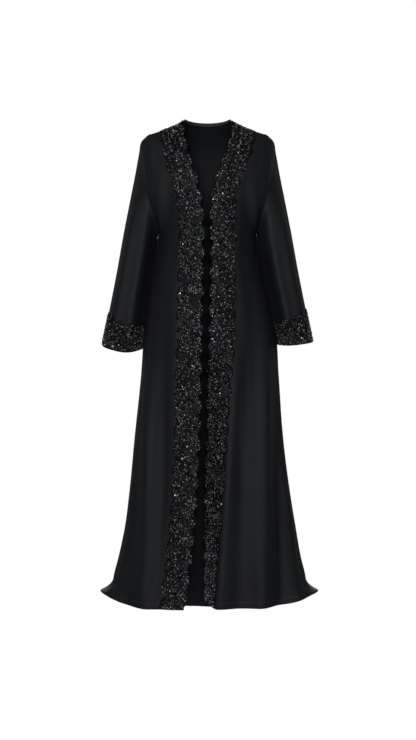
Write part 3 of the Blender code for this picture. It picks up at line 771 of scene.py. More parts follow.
def add_object(name, points, faces, finish, uv=None, tone=None, smooth_shaded=True):
    """A mesh piece that rides on the body, from points in millimetres."""
    used, inverse = np.unique(faces, return_inverse=True)
    faces = inverse.reshape(faces.shape)
    mesh = bpy.data.meshes.new(name)
    mesh.from_pydata((points[used] * MM).tolist(), [], faces.tolist())
    if uv is not None:
        layer = mesh.uv_layers.new(name="cloth")
        layer.data.foreach_set("uv", (uv * MM).astype(np.float32).ravel())
    if tone is not None:
        attribute = mesh.attributes.new("tone", "FLOAT", "POINT")
        attribute.data.foreach_set("value", tone[used].astype(np.float32))
    if smooth_shaded:
        mesh.shade_smooth()
        mesh.set_sharp_from_angle(angle=math.radians(50))
    mesh.materials.append(finish)
    piece = bpy.data.objects.new(name, mesh)
    bpy.context.scene.collection.objects.link(piece)
    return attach(piece, BODY)


def shell(name, outer, inner, out, finish, around=False, kept=None, inside=None):
    """A closed wall between two grids of points, over the cells that are kept."""
    rows, columns = outer.shape[:2]
    cells = (rows - 1, columns if around else columns - 1)
    kept = np.ones(cells, bool) if kept is None else kept
    r, c = np.nonzero(kept)
    after = (c + 1) % columns
    row, below = r * columns, (r + 1) * columns
    corners = np.stack([row + c, row + after, below + after, below + c], 1)
    deep = rows * columns
    framed = np.pad(kept, 1)
    if around:
        framed[:, 0], framed[:, -1] = framed[:, -2], framed[:, 1]
    beyond = [framed[r, c + 1], framed[r + 1, c + 2], framed[r + 2, c + 1], framed[r + 1, c]]
    walls = []
    for k, there in enumerate(beyond):
        a, b = corners[~there, k], corners[~there, (k + 1) % 4]
        walls.append(np.stack([b, a, a + deep, b + deep], 1))
    quads = np.concatenate([corners, corners[:, ::-1] + deep, *walls])

    across = lengths(np.concatenate([outer, outer[:, :1]], 1) if around else outer, 1)
    down = lengths(outer)
    down = np.concatenate([down, down[:, :1]], 1)
    corner = (r[:, None] + np.array([0, 0, 1, 1]), c[:, None] + np.array([0, 1, 1, 0]))
    spots = np.stack([across[corner], down[corner]], -1)
    sides = [spots[~there][:, [(k + 1) % 4, k, k, (k + 1) % 4]] for k, there in enumerate(beyond)]
    uv = np.concatenate([spots, spots[:, ::-1], *sides])

    points = np.concatenate([outer.reshape(-1, 3), inner.reshape(-1, 3)])
    a, b, d = (points[corners[:, k]] for k in (0, 1, 3))
    if (np.cross(b - a, d - a) * out[r, c]).sum() < 0:
        quads, uv = quads[:, ::-1], uv[:, ::-1]
    piece = add_object(name, points, quads, finish, uv=uv.reshape(-1, 2))
    if inside is not None:
        piece.data.materials.append(inside)
        for face in piece.data.polygons[len(corners) : 2 * len(corners)]:
            face.material_index = 1
    return piece


def cut_of(grid, around=False):
    """The width, length and area that a piece is cut to, in metres."""
    ring = np.concatenate([grid, grid[:, :1]], 1) if around else grid
    width, length = lengths(ring, 1)[:, -1].max(), lengths(grid)[-1].max()
    across, down = ring[:-1, 1:] - ring[:-1, :-1], ring[1:, :-1] - ring[:-1, :-1]
    area = np.linalg.norm(np.cross(across, down), axis=-1).sum()
    flat = (width * MM, length * MM)
    return {"flat": flat, "area": min(area * MM * MM, flat[0] * flat[1])}


# Bands: strips of cloth that lace or stitches are laid on, with flat places in millimetres

def band_of(points, out, v, around=False):
    """A strip from its points, with a row for each place along it, and the directions off the cloth."""
    return {"points": points, "heads": unit(out), "u": lengths(points[:, 0]), "v": v, "around": around}


def front_band(grid, out):
    """The strip beside a front edge: along it from the shoulder, and across it from the edge."""
    points = grid[:, : BAND_COLUMNS + 3]
    return band_of(points, out[:, : BAND_COLUMNS + 3], lengths(points, 1).mean(axis=0))


def ring_band(grid, out, width):
    """The strip above a tube's end: along it round the ring, and across it up from the end."""
    up = lengths(grid[::-1]).mean(axis=1)
    rows = int(np.searchsorted(up, width + SEAM_STEP)) + 1
    closed = [np.concatenate([part, part[:1]]) for part in (end_rows(grid, rows), end_rows(out, rows))]
    return band_of(*closed, up[:rows], around=True)


def hem_band(grid, out):
    """The strip above a panel's hem: along the hem, and up from it."""
    points = end_rows(grid, FLICK_ROWS + 4)
    return band_of(points, end_rows(out, FLICK_ROWS + 4), lengths(points, 1).mean(axis=0))


def end_rows(grid, rows):
    """A grid's last rows from its end upwards, as columns."""
    return grid[::-1][:rows].transpose(1, 0, 2)


def on_band(band, flat):
    """Points of flat places: along the band, across it and above the cloth."""
    u, v, height = flat[..., 0], flat[..., 1], flat[..., 2]
    if band["around"]:
        u = np.mod(u, band["u"][-1])
    i = np.clip(np.searchsorted(band["u"], u) - 1, 0, len(band["u"]) - 2)
    j = np.clip(np.searchsorted(band["v"], v) - 1, 0, len(band["v"]) - 2)
    s = ((u - band["u"][i]) / (band["u"][i + 1] - band["u"][i]))[..., None]
    t = ((v - band["v"][j]) / (band["v"][j + 1] - band["v"][j]))[..., None]

    def between(values):
        near = values[i, j] * (1 - t) + values[i, j + 1] * t
        far = values[i + 1, j] * (1 - t) + values[i + 1, j + 1] * t
        return near * (1 - s) + far * s

    return between(band["points"]) + unit(between(band["heads"])) * height[..., None]


# Small shapes in their own lengths, widths and heights, and heaps of them on a band

def tube_faces(rings, sides):
    """The triangles of a closed solid of rings."""
    faces = []
    for ring in range(rings - 1):
        for k in range(sides):
            a, b = ring * sides + k, ring * sides + (k + 1) % sides
            faces += [(a, b, b + sides), (a, b + sides, a + sides)]
    top = (rings - 1) * sides
    for k in range(1, sides - 1):
        faces += [(0, k + 1, k), (top, top + k, top + k + 1)]
    return np.array(faces)


def rings_solid(rings, sides):
    """A closed solid of round rings, each with a radius and a height, as points and triangles."""
    angles = 2 * math.pi * np.arange(sides) / sides
    points = [(r * math.cos(a), r * math.sin(a), h) for r, h in rings for a in angles]
    return np.array(points), tube_faces(len(rings), sides)


def laid_down(shape, height):
    """A standing solid laid along its length, with its middle at a height."""
    points, faces = shape
    return points[:, [2, 1, 0]] * np.array([1, 2, -1]) + np.array([0, 0, height]), faces


def bead():
    return rings_solid([(1.0, 0.3), (0.6, 1.0)], 5)


def stone(sides=5):
    return rings_solid([(1.0, 0.1), (0.55, 1.0)], sides)


def sequin():
    return rings_solid([(1.0, 0.0), (0.95, 1.0)], 6)


def tube_bead():
    return laid_down(rings_solid([(0.5, -1.0), (0.5, 1.0)], 4), 0.5)


def thread():
    """One stitch."""
    return laid_down(rings_solid([(0.25, -1.0), (0.5, -0.6), (0.5, 0.6), (0.25, 1.0)], 5), 0.3)


def leaf(fullest):
    """A pointed leaf or petal from 0 to 1 along its length, domed, with a groove down its middle."""
    steps, across = 6, 5
    profile = ((-1, 0.3), (-0.5, 1), (0, 0.72), (0.5, 1), (1, 0.3))
    points, faces = [], []
    for t in np.linspace(0, 1, steps + 1):
        wide = max(0.05, math.sin(math.pi * t ** (math.log(0.5) / math.log(fullest))))
        points += [(t, place * wide, height * (0.25 + 0.75 * wide)) for place, height in profile]
    for k in range(steps):
        for c in range(across - 1):
            a = k * across + c
            faces += [(a, a + across, a + across + 1), (a, a + across + 1, a + 1)]
    rim = [k * across for k in range(steps + 1)]
    rim += [steps * across + c for c in range(1, across)]
    rim += [k * across + across - 1 for k in range(steps - 1, -1, -1)]
    rim += list(range(across - 2, 0, -1))
    low = len(points)
    points += [(points[v][0], points[v][1], 0.0) for v in rim]
    for k, (a, b) in enumerate(zip(rim, rim[1:] + rim[:1])):
        n = (k + 1) % len(rim)
        faces += [(low + k, low + n, b), (low + k, b, a)]
    faces += [(low, low + k + 1, low + k) for k in range(1, len(rim) - 1)]
    return np.array(points), np.array(faces)


class Heap:
    """Many small shapes laid out flat, which become one mesh."""

    def __init__(self):
        self.points, self.faces, self.tones, self.count = [], [], [], 0

    def take(self, points, faces, tones):
        self.points.append(points)
        self.faces.append(faces + self.count)
        self.tones.append(tones)
        self.count += len(points)

    def add(self, shape, u, v, height, turn, size, tone, tilt=(0.0, 0.0)):
        """Places copies of a shape. Size is its length, width and height, tilt its slope along and across."""
        u, v, height, turn, tone = np.broadcast_arrays(*np.atleast_1d(u, v, height, turn, tone))
        points, faces = shape
        a, b, h = (points[:, k][None] * np.reshape(size[k], (-1, 1)) for k in range(3))
        h = h + a * np.reshape(tilt[0], (-1, 1)) + b * np.reshape(tilt[1], (-1, 1))
        cos, sin = np.cos(turn)[:, None], np.sin(turn)[:, None]
        flat = stacked(u[:, None] + a * cos - b * sin, v[:, None] + a * sin + b * cos, height[:, None] + h)
        starts = np.arange(len(u)) * len(points)
        copies = (faces[None] + starts[:, None, None]).reshape(-1, 3)
        self.take(flat.reshape(-1, 3), copies, np.repeat(tone, len(points)))

    def cord(self, u, v, height, radius, tone):
        """A cord of four sides along a line of flat places."""
        line = stacked(u, v, height)
        heading = unit(np.gradient(line[:, :2], axis=0))
        side = stacked(-heading[:, 1], heading[:, 0], 0.0)
        up = np.array([0, 0, 1.0])
        grown_radius = radius * np.ones(len(line))
        grown_radius[[0, -1]] *= 0.3
        points = np.stack([line + way * grown_radius[:, None] for way in (side, up, -side, -up)], 1)
        self.take(points.reshape(-1, 3), tube_faces(len(line), 4), np.full(4 * len(line), tone))

    def piece(self, name, band, finish, smooth_shaded=True):
        """The heap as one mesh on a band, with its faces turned outwards."""
        faces = np.concatenate(self.faces)
        way = np.array([[0, 0, 0.5], [1, 0, 0.5], [0, 1, 0.5], [0, 0, 1.5]])
        o, a, b, h = on_band(band, way + [band["u"][-1] / 2, band["v"][-1] / 2, 0])
        if np.dot(np.cross(a - o, b - o), h - o) < 0:
            faces = faces[:, ::-1]
        points = on_band(band, np.concatenate(self.points))
        tones = np.concatenate(self.tones)
        return add_object(name, points, faces, finish, tone=tones, smooth_shaded=smooth_shaded)


# The lace's layout

def scallop(place):
    """How far the lace's edge is drawn in, from 0 on a lobe's tip to 1 between lobes."""
    return (0.5 + 0.5 * np.cos(2 * math.pi * place / SCALLOP_PITCH)) ** 1.5


def ripple(place):
    return 0.7 * np.sin(2 * math.pi * place / 13.5) + 0.5 * np.sin(2 * math.pi * place / 31.0)


def front_edges(place):
    """Both edges of the lace on a front, across the band from the front edge."""
    inner = 0.5 + OVERHANG * (1 - scallop(place + SCALLOP_PITCH / 3)) + ripple(place + 5)
    return -inner * smooth(place / 40), BAND_WIDTH - SCALLOP * scallop(place) + ripple(place)


def cuff_edges(place):
    """Both edges of the lace on a cuff, up from the cuff's end."""
    return -0.8 + 0 * place, CUFF_BAND - SCALLOP * scallop(place) + 3 * ripple(place)


def front_gaps(band):
    """Middles of the gaps in the lace on a front, as in the solid."""
    rows = np.interp(solid_levels(), LEVELS, band["u"])
    places = []
    for near, far in zip(rows[:-1], rows[1:]):
        parts = max(1, round((far - near) / LACE_CELL))
        places += [near + (far - near) * k / parts for k in range(parts)]
    places.append(rows[-1])
    cell = BAND_WIDTH / SOLID_BAND_COLUMNS
    found = []
    for start in range(0, len(places), 9):
        for row, column in ((start + 1, 1), (start + 4, 3), (start + 6, 2)):
            if row + 1 < len(places):
                found.append(((places[row] + places[row + 1]) / 2, (column + 0.5) * cell))
    return np.array(found)


def cuff_gaps(band):
    """Middles of the gaps in the lace on a cuff, as in the solid."""
    cell = CUFF_BAND / SOLID_BAND_COLUMNS
    around = 4 * SOLID_ARMHOLE_ROWS
    step = band["u"][-1] / around
    found = [(row, column) for row, start in ((1, 0), (3, 2)) for column in range(start, around, 6)]
    return np.array([((column + 0.5) * step, CUFF_BAND - (row + 0.5) * cell) for row, column in found])


def net(name, band, edges, gaps, finish):
    """The lace's ground, a thin wall over the cloth with its gaps cut through."""
    length, around = band["u"][-1], band["around"]
    rows, columns = round(length / NET_CELL), round(BAND_WIDTH / NET_CELL)
    u = np.linspace(0, length, rows + 1)
    u = u[:-1] if around else u
    low, high = edges(u)
    v = low[:, None] + (high - low)[:, None] * np.linspace(0, 1, columns + 1)
    inner, outer = (on_band(band, stacked(u[:, None], v, height)) for height in (NET_LIFT, ON_NET))
    middle_u = u if around else u[:-1] + length / rows / 2
    middle_v = ((v[:, :-1] + v[:, 1:]) / 2)[: len(middle_u)]
    away_u = (middle_u[:, None, None] - gaps[:, 0]) / GAP_HALF[0]
    away_v = (middle_v[..., None] - gaps[:, 1]) / GAP_HALF[1]
    kept = (away_u**2 + away_v**2).min(axis=-1) > 1
    if around:
        outer, inner, kept = outer.transpose(1, 0, 2), inner.transpose(1, 0, 2), kept.T
    wall = shell(name, outer, inner, unit(outer - inner), finish, around=around, kept=kept)
    return wall, cut_of(outer, around)


def vine(place, width):
    """How far across the band the stem runs at a place."""
    return width * (0.5 + 0.2 * np.sin(2 * math.pi * place / VINE_PITCH))


def flower_list(start, end, width, rng):
    """Flowers in the vine's bays, large and small: place, across, radius, petals and turn."""
    found = []
    for place in np.arange(start, end, FLOWER_PITCH):
        bay = -1 if math.cos(2 * math.pi * (place - VINE_PITCH / 4) / VINE_PITCH) > 0 else 1
        for shift, across, size, spread, petals in (
            (0, 0.24 * bay, BIG_FLOWER, 1.5, 6),
            (23, 0.34 * bay, SMALL_FLOWER, 1, 5),
            (4, -0.36 * bay, SMALL_FLOWER - 1, 1, 5),
        ):
            radius = size + rng.uniform(-spread, spread)
            middle = place + shift + rng.uniform(-4, 4)
            found.append((middle, width * (0.5 + across), radius, petals, rng.uniform(0, 1)))
    return np.array(found)


def leaf_list(start, end, width, flowers, rng):
    """Leaves round large flowers and beside the vine: place, across, turn, length and half width."""
    found = []
    for place, across, radius, _, turn in flowers:
        if radius > 12:
            for k in range(6):
                angle = turn + 2 * math.pi * (k + 0.5) / 6 + rng.uniform(-0.2, 0.2)
                u = place + radius * 0.72 * math.cos(angle)
                v = across + radius * 0.72 * math.sin(angle)
                found.append((u, v, angle, rng.uniform(11, 15), rng.uniform(2.5, 3.2)))
    for k, place in enumerate(np.arange(start, end, VINE_LEAF_PITCH)):
        heading = math.atan2(vine(place + 1, width) - vine(place - 1, width), 2)
        angle = heading + (1 if k % 2 else -1) * rng.uniform(0.6, 1.0)
        found.append((place, vine(place, width), angle, rng.uniform(12, 18), rng.uniform(2.6, 3.4)))
    return found


def neck_leaf_list(width, rng):
    """Long leaves that run down the band beside the neck."""
    found = []
    for c, share in enumerate(NECK_LEAF_SHARES):
        for place in np.arange(2 + 7 * (c % 2), NECK_LEAVES_END, NECK_LEAF_PITCH):
            across, turn = width * share + rng.uniform(-1.5, 1.5), rng.uniform(-0.3, 0.3)
            found.append((place, across, turn, rng.uniform(17, 22), rng.uniform(2.8, 3.6)))
    return found


def kept_leaves(leaves, edges, around, length):
    """The leaves whose tips lie on the lace."""
    leaves = np.array(leaves)
    place, across, turn, long, _ = leaves.T
    tip_u, tip_v = place + long * np.cos(turn), across + long * np.sin(turn)
    low, high = edges(tip_u)
    inside = (tip_v > low + 0.5) & (tip_v < high - 0.5)
    if not around:
        inside &= (tip_u > 1) & (tip_u < length - 1) & (place > 1)
    return leaves[inside]


def fill_places(band, edges, width, gaps, flowers, leaves, rng):
    """Places for beads between the flowers and leaves, on a shaken triangular lattice."""
    length = band["u"][-1]
    rows = int(length / (FILL_PITCH * 0.866))
    columns = int((width + 16) / FILL_PITCH)
    i, j = np.meshgrid(np.arange(rows), np.arange(columns), indexing="ij")
    u = (i + 0.5) * length / rows
    v = (j + 0.5 * (i % 2)) * FILL_PITCH - 8
    u, v = (x.ravel() + rng.uniform(-0.27, 0.27, x.size) * FILL_PITCH for x in (u, v))
    low, high = edges(u)
    ragged = 2.6 + 1.5 * np.sin(u / 3.9 + 2.2 * np.sin(u / 10.3)) + 1.1 * np.sin(u / 2.3 + 1)
    good = (v > low + ragged) & (v < high - 1.6 * ragged)
    if not band["around"]:
        good &= (u > 2) & (u < length - 2)
    u, v = u[good], v[good]
    free = np.ones(len(u), bool)
    for place, across, radius, _, _ in flowers:
        free &= np.hypot(u - place, v - across) > radius * PETAL
    for place, across, turn, long, half in leaves:
        a = (u - place) * np.cos(turn) + (v - across) * np.sin(turn)
        b = (v - across) * np.cos(turn) - (u - place) * np.sin(turn)
        free &= ~((a > -0.5) & (a < long) & (abs(b) < half * 0.75))
    for place, across in gaps:
        away_u, away_v = (u - place) / (GAP_HALF[0] + 1.6), (v - across) / (GAP_HALF[1] + 1.6)
        free &= away_u**2 + away_v**2 > 1
    patches = np.sin(u / 7.1 + 1.3 * np.sin(v / 6.3)) * np.sin(v / 5.2 + 1.7 * np.sin(u / 8.7))
    free &= (patches < 0.72) | (rng.uniform(0, 1, len(u)) < 0.25)
    return u[free], v[free]


def scatter(beads, shape, u, v, lift, size, dullest, lean, rng):
    """Copies of a shape at places, turned, toned and leant at random."""
    turn, tone = rng.uniform(0, 6, len(u)), rng.uniform(dullest, 1, len(u))
    beads.add(shape, u, v, ON_NET + lift, turn, size, tone, rng.normal(0, lean, (2, len(u))))


def lay_flowers(threads, beads, flowers, rng):
    """Flowers: domed petals with stones down their sides, a ring of stones and a bead in the middle."""
    petal, small, large = leaf(0.62), stone(4), bead()
    for place, across, radius, petals, turn in flowers:
        petals = int(petals)
        angles = turn + 2 * math.pi * np.arange(petals) / petals
        cos, sin = np.cos(angles), np.sin(angles)
        wide = radius * (0.36 if petals == 6 else 0.42)
        long, inside = radius * PETAL, radius * 0.16
        tones = rng.uniform(0.25, 0.9) + rng.uniform(-0.12, 0.12, petals)
        u, v = place + inside * cos, across + inside * sin
        threads.add(petal, u, v, ON_NET, angles, (long, wide, 1.5), tones)
        for t in (0.42, 0.62, 0.8):
            half = wide * math.sin(math.pi * t**1.45) * 1.02
            out = inside + t * long
            for way in (-half, half):
                u, v = place + out * cos - way * sin, across + out * sin + way * cos
                scatter(beads, small, u, v, 0.25, (0.95, 0.95, 1.35), 0.2, 0.22, rng)
        ring = turn + 2 * math.pi * np.arange(6) / 6
        u, v = place + radius * 0.22 * np.cos(ring), across + radius * 0.22 * np.sin(ring)
        tones = rng.uniform(0.3, 1, 6)
        beads.add(small, u, v, ON_NET + 0.8, ring, (1.25, 1.25, 1.2), tones, rng.normal(0, 0.25, (2, 6)))
        size = (radius * 0.14, radius * 0.14, 2.0)
        beads.add(large, place, across, ON_NET + 0.7, turn, size, rng.uniform(0.6, 1))


def lay_leaves(threads, beads, leaves, rng):
    """Leaves, each with a row of stones down its middle."""
    place, across, turn, long, half = leaves.T
    size = (long, half, rng.uniform(1.0, 1.3, len(leaves)))
    threads.add(leaf(0.45), place, across, ON_NET, turn, size, rng.uniform(0.1, 0.85, len(leaves)))
    for t in (0.16, 0.33, 0.5, 0.67, 0.84):
        u, v = place + t * long * np.cos(turn), across + t * long * np.sin(turn)
        scatter(beads, stone(4), u, v, 0.65, (0.85, 0.85, 1.0), 0.1, 0.25, rng)


def lay_fill(beads, u, v, rng):
    """Round beads, cut stones, sequins and bugle beads by turns."""
    kind = rng.uniform(0, 1, len(u))
    for shape, low, high, size, lean, lift in (
        (bead(), 0.0, 0.34, (1.35, 1.35, 1.9), 0.08, 0.05),
        (stone(), 0.34, 0.56, (1.4, 1.4, 1.2), 0.25, 0.05),
        (sequin(), 0.56, 0.86, (1.85, 1.85, 0.35), 0.42, 0.8),
        (tube_bead(), 0.86, 1.0, (2.1, 0.65, 1.2), 0.1, 0.05),
    ):
        chosen = (kind >= low) & (kind < high)
        number = int(chosen.sum())
        grown_size = np.outer(size, rng.uniform(0.82, 1.12, number))
        turn, tone = rng.uniform(0, 2 * math.pi, number), rng.uniform(0, 1, number)
        tilt = rng.normal(0, lean, (2, number))
        beads.add(shape, u[chosen], v[chosen], ON_NET + lift, turn, grown_size, tone, tilt)


def lay_edges(threads, band, edges):
    """A cord along each edge of the lace."""
    length = band["u"][-1]
    end = 0 if band["around"] else 0.6
    u = np.linspace(end, length - end, round(length / 3))
    for edge, inset in zip(edges(u), (EDGE_CORD, -EDGE_CORD)):
        threads.cord(u, edge + inset, ON_NET + 0.1, EDGE_CORD, 0.1)


def lace(word, band, edges, width, gaps, seed, at_neck, finishes, under):
    """One lace band on a piece under it: its net, its embroidery and its beads."""
    rng = np.random.default_rng(seed)
    length = band["u"][-1]
    start = NECK_LEAVES_END + 20 if at_neck else 14.0
    flowers = flower_list(start, length - (6 if band["around"] else 16), width, rng)
    leaves = leaf_list(start - 14, length - 10, width, flowers, rng)
    if at_neck:
        leaves += neck_leaf_list(width, rng)
    leaves = kept_leaves(leaves, edges, band["around"], length)
    threads, beads = Heap(), Heap()
    lay_edges(threads, band, edges)
    stem = np.arange(start - 14, length - 3, 3.0)
    threads.cord(stem, vine(stem, width), ON_NET + 0.15, STEM, 0.4)
    lay_leaves(threads, beads, leaves, rng)
    lay_flowers(threads, beads, flowers, rng)
    lay_fill(beads, *fill_places(band, edges, width, gaps, flowers, leaves, rng), rng)
    ground, cut = net(f"lace_net_{word}", band, edges, gaps, finishes["net"])
    pieces = [
        threads.piece(f"lace_embroidery_{word}", band, finishes["embroidery"]),
        beads.piece(f"lace_beads_{word}", band, finishes["beads"], smooth_shaded=False),
    ]
    declare(f"lace_{word}")


# Stitches

def stitch_row(name, band, across, finish, ends=2.0, pitch=3.6):
    """A line of stitches along a band."""
    places = np.arange(band["u"][0] + ends, band["u"][-1] - ends, pitch)
    heap = Heap()
    for height in np.atleast_1d(across):
        heap.add(thread(), places, height, 0.05, 0.0, (pitch * 0.36, 0.28, 0.45), 0.5)
    return heap.piece(name, band, finish)


# Materials

def new_material(name, gloss, rough=0.5):
    made = bpy.data.materials.new(name)
    made.use_nodes = True
    shader = made.node_tree.nodes["Principled BSDF"]
    shader.inputs["Specular IOR Level"].default_value = gloss
    shader.inputs["Roughness"].default_value = rough
    return made, made.node_tree, shader


def node(tree, kind, links=(), values=(), **settings):
    """A node with its settings, its links by socket and its other sockets' values."""
    made = tree.nodes.new(kind)
    for key, value in settings.items():
        setattr(made, key, value)
    for socket, value in dict(values).items():
        made.inputs[socket].default_value = value
    for socket, source in dict(links).items():
        tree.links.new(source, made.inputs[socket])
    return made.outputs


def place_of(tree):
    return node(tree, "ShaderNodeTexCoord")["Object"]


def cloth_of(tree):
    return node(tree, "ShaderNodeUVMap", uv_map="cloth")["UV"]


def tone_of(tree):
    return node(tree, "ShaderNodeAttribute", attribute_name="tone")["Fac"]


def grain(tree, vector, scale, detail=2.0):
    return node(tree, "ShaderNodeTexNoise", {"Vector": vector}, {"Scale": scale, "Detail": detail})["Fac"]


def ramp(tree, factor, *stops):
    made = tree.nodes.new("ShaderNodeValToRGB")
    points = made.color_ramp.elements
    while len(points) < len(stops):
        points.new(0.5)
    for point, (place, colour) in zip(points, stops):
        point.position = place
        point.color = (*colour, 1)
    tree.links.new(factor, made.inputs["Fac"])
    return made.outputs["Color"]


def coloured(tree, shader, factor, *stops):
    tree.links.new(ramp(tree, factor, *stops), shader.inputs["Base Color"])


def varied(tree, socket, factor, low, high, start=0.0, end=1.0):
    """Moves a socket from low to high as a factor goes from start to end."""
    values = {"From Min": start, "From Max": end, "To Min": low, "To Max": high}
    tree.links.new(node(tree, "ShaderNodeMapRange", {"Value": factor}, values)["Result"], socket)


def bumped(tree, shader, *layers):
    """Bumps laid over each other, each a height, a strength and a depth in metres."""
    links = {}
    for height, strength, depth in layers:
        links["Height"] = height
        values = {"Strength": strength, "Distance": depth}
        links["Normal"] = node(tree, "ShaderNodeBump", links, values)["Normal"]
    tree.links.new(links["Normal"], shader.inputs["Normal"])


def crepe(name, rough, gloss):
    """Matt black crepe: a crinkled yarn surface with small changes of depth."""
    made, tree, shader = new_material(name, gloss)
    cloth = cloth_of(tree)
    broad, fine = grain(tree, place_of(tree), 7.0), grain(tree, cloth, 1400.0, 3.0)
    values = {"Scale": 420.0, "Distortion": 3.0, "Detail": 2.0, "Detail Scale": 3.0}
    warp = node(tree, "ShaderNodeTexWave", {"Vector": cloth}, values)["Fac"]
    mixed = node(tree, "ShaderNodeMix", {"A": broad, "B": fine}, {"Factor": 0.25}, data_type="FLOAT")
    coloured(tree, shader, mixed["Result"], (0.3, CREPE[0]), (0.7, CREPE[1]))
    varied(tree, shader.inputs["Roughness"], fine, rough, rough + 0.14)
    bumped(tree, shader, (fine, 0.35, 0.00025), (warp, 0.2, 0.00015))
    return made


def embroidery():
    """Black rayon thread, satin stitched, a little lighter on some flowers and leaves."""
    made, tree, shader = new_material("black embroidery thread", 0.03)
    strands = grain(tree, place_of(tree), 1600.0)
    coloured(tree, shader, tone_of(tree), *zip((0.0, 0.6, 1.0), RAYON))
    varied(tree, shader.inputs["Roughness"], strands, 0.5, 0.7)
    bumped(tree, shader, (strands, 0.5, 0.0003))
    return made


def beads():
    """Black and smoke glass, some with a grey metal coat, some faintly violet or green."""
    made, tree, shader = new_material("black glass beads", 0.06)
    place, tone = place_of(tree), tone_of(tree)
    tint = ramp(tree, grain(tree, place, 18.0), *TINTS)
    depth = ramp(tree, tone, *((start, (grey, grey, grey)) for start, grey in GLASS))
    links = {"A": depth, "B": tint}
    mixed = node(tree, "ShaderNodeMix", links, {"Factor": 1.0}, data_type="RGBA", blend_type="MULTIPLY")
    tree.links.new(mixed["Result"], shader.inputs["Base Color"])
    varied(tree, shader.inputs["Metallic"], tone, 0.0, 0.35, 0.8, 0.95)
    scratches = grain(tree, place, 900.0)
    varied(tree, shader.inputs["Roughness"], scratches, 0.22, 0.42)
    bumped(tree, shader, (scratches, 0.15, 0.0002))
    return made


def net_cloth():
    """Black net: fine hexagon threads on black."""
    made, tree, shader = new_material("black net", 0.03, 0.7)
    links, values = {"Vector": cloth_of(tree)}, {"Scale": 700.0}
    cells = node(tree, "ShaderNodeTexVoronoi", links, values, feature="DISTANCE_TO_EDGE")["Distance"]
    coloured(tree, shader, cells, (0.0, RAYON[1]), (0.12, RAYON[0]))
    bumped(tree, shader, (cells, 0.5, 0.0003))
    return made


def woven_tape():
    made, tree, shader = new_material("black twill tape", 0.25, 0.6)
    values = {"Scale": 260.0, "Distortion": 0.5}
    twill = node(tree, "ShaderNodeTexWave", {"Vector": cloth_of(tree)}, values, bands_direction="DIAGONAL")
    coloured(tree, shader, twill["Fac"], *zip((0.0, 1.0), TWILL))
    bumped(tree, shader, (twill["Fac"], 0.5, 0.0003))
    return made


def sewing_thread():
    made, tree, shader = new_material("black sewing thread", 0.3)
    strands = grain(tree, place_of(tree), 2500.0)
    coloured(tree, shader, strands, *zip((0.3, 0.7), SEWING))
    bumped(tree, shader, (strands, 0.4, 0.0002))
    return made


def plaster():
    """The studio floor, pale and smooth."""
    made, tree, shader = new_material("pale floor", 0.1, 0.9)
    coloured(tree, shader, grain(tree, place_of(tree), 0.8), *zip((0.3, 0.7), FLOOR))
    return made


# The garment

def declare(node_name):
    """Hides the solid that a cloth piece replaces."""
    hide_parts(node_name)


def panel(name, grid, out, thickness, dips, edges, cloth, around=False):
    """A cloth piece on its grid. Dips and edges are the distances from each seam and each edge."""
    outer, inner = faces_of(grid, out, thickness, dips, edges)
    piece = shell(f"cloth_{name}", outer, inner, out, cloth[0], around=around, inside=cloth[1])
    declare(name)


def creased_body():
    """The fronts and the back with their creases."""
    fronts = {side: front_grid(side) for side in (-1, 1)}
    for side, grid in fronts.items():
        across = lengths(grid, 1)
        share = across / across[:, -1:]
        fronts[side] = creased(grid, directions(grid), FRONT_CREASES[side], share, -grid[..., 2])
    back = back_grid()
    share = np.broadcast_to(np.concatenate([-back_shares()[:0:-1], back_shares()]), back.shape[:2])
    below_neck = smooth((LEVELS - 0.05) / 0.2)[:, None, None]
    back_creased = creased(back, directions(back), BACK_CREASES, share, -back[..., 2])
    return fronts, back + (back_creased - back) * below_neck


def make_back(back, out, cloth, stitching):
    """The back panel with its hem stitches, and the neck tape on it."""
    down, across = lengths(back), lengths(back, 1)
    from_sides = [across, across[:, -1:] - across]
    on_shoulder = np.abs(np.arange(back.shape[1]) - back.shape[1] // 2) >= NECK_COLUMNS
    from_top = np.where(on_shoulder, down, SEAM_STEP)
    for side, last, near in ((-1, 0, 1), (1, -1, -2)):
        body_seam(side, back, last, near, 1)
    back[0, 1:-1, 1] += SEAM_GAP / 2
    stitches = stitch_row("hem_stitches_back", hem_band(back, out), HEM_TURN - 2, stitching)
    edges = [down, down[-1:] - down, *from_sides]
    panel("back", back, out, hem_thickness(back), [from_top, *from_sides], edges, cloth)
    neck_tape(back, out, stitching)


def make_front(side, word, grid, out, cloth, stitching, finishes):
    """A front panel with its hem stitches and its lace."""
    band = front_band(grid, out)
    down, across = lengths(grid), lengths(grid, 1)
    from_side = across[:, -1:] - across
    body_seam(side, grid, -1, -2, -1)
    grid[0, :-1, 1] -= SEAM_GAP / 2
    stitches = stitch_row(f"hem_stitches_{word}", hem_band(grid, out), HEM_TURN - 2, stitching)
    edges = [down, down[-1:] - down, across, from_side]
    name = f"front_{word}"
    panel(name, grid, out, hem_thickness(grid), [down, from_side], edges, cloth)
    lace(name, band, front_edges, BAND_WIDTH, front_gaps(band), 11 + side, True, finishes, f"cloth_{name}")


def make_sleeve(side, word, cloth, finishes):
    """A sleeve with the lace round its cuff."""
    grid = sleeve_grid(side)
    out = directions(grid, around=True)
    band = ring_band(grid, out, CUFF_BAND + 12)
    out[0] = armhole_direction(side, grid[0], out[0])
    down = lengths(grid)
    grid[0] += armhole_axis(side) * SEAM_GAP / 2
    name = f"sleeve_{word}"
    panel(name, grid, out, CLOTH + 0 * down, [down], [down, down[-1:] - down], cloth, around=True)
    gaps = cuff_gaps(band)
    lace(f"cuff_{word}", band, cuff_edges, CUFF_BAND, gaps, 31 + side, False, finishes, f"cloth_{name}")


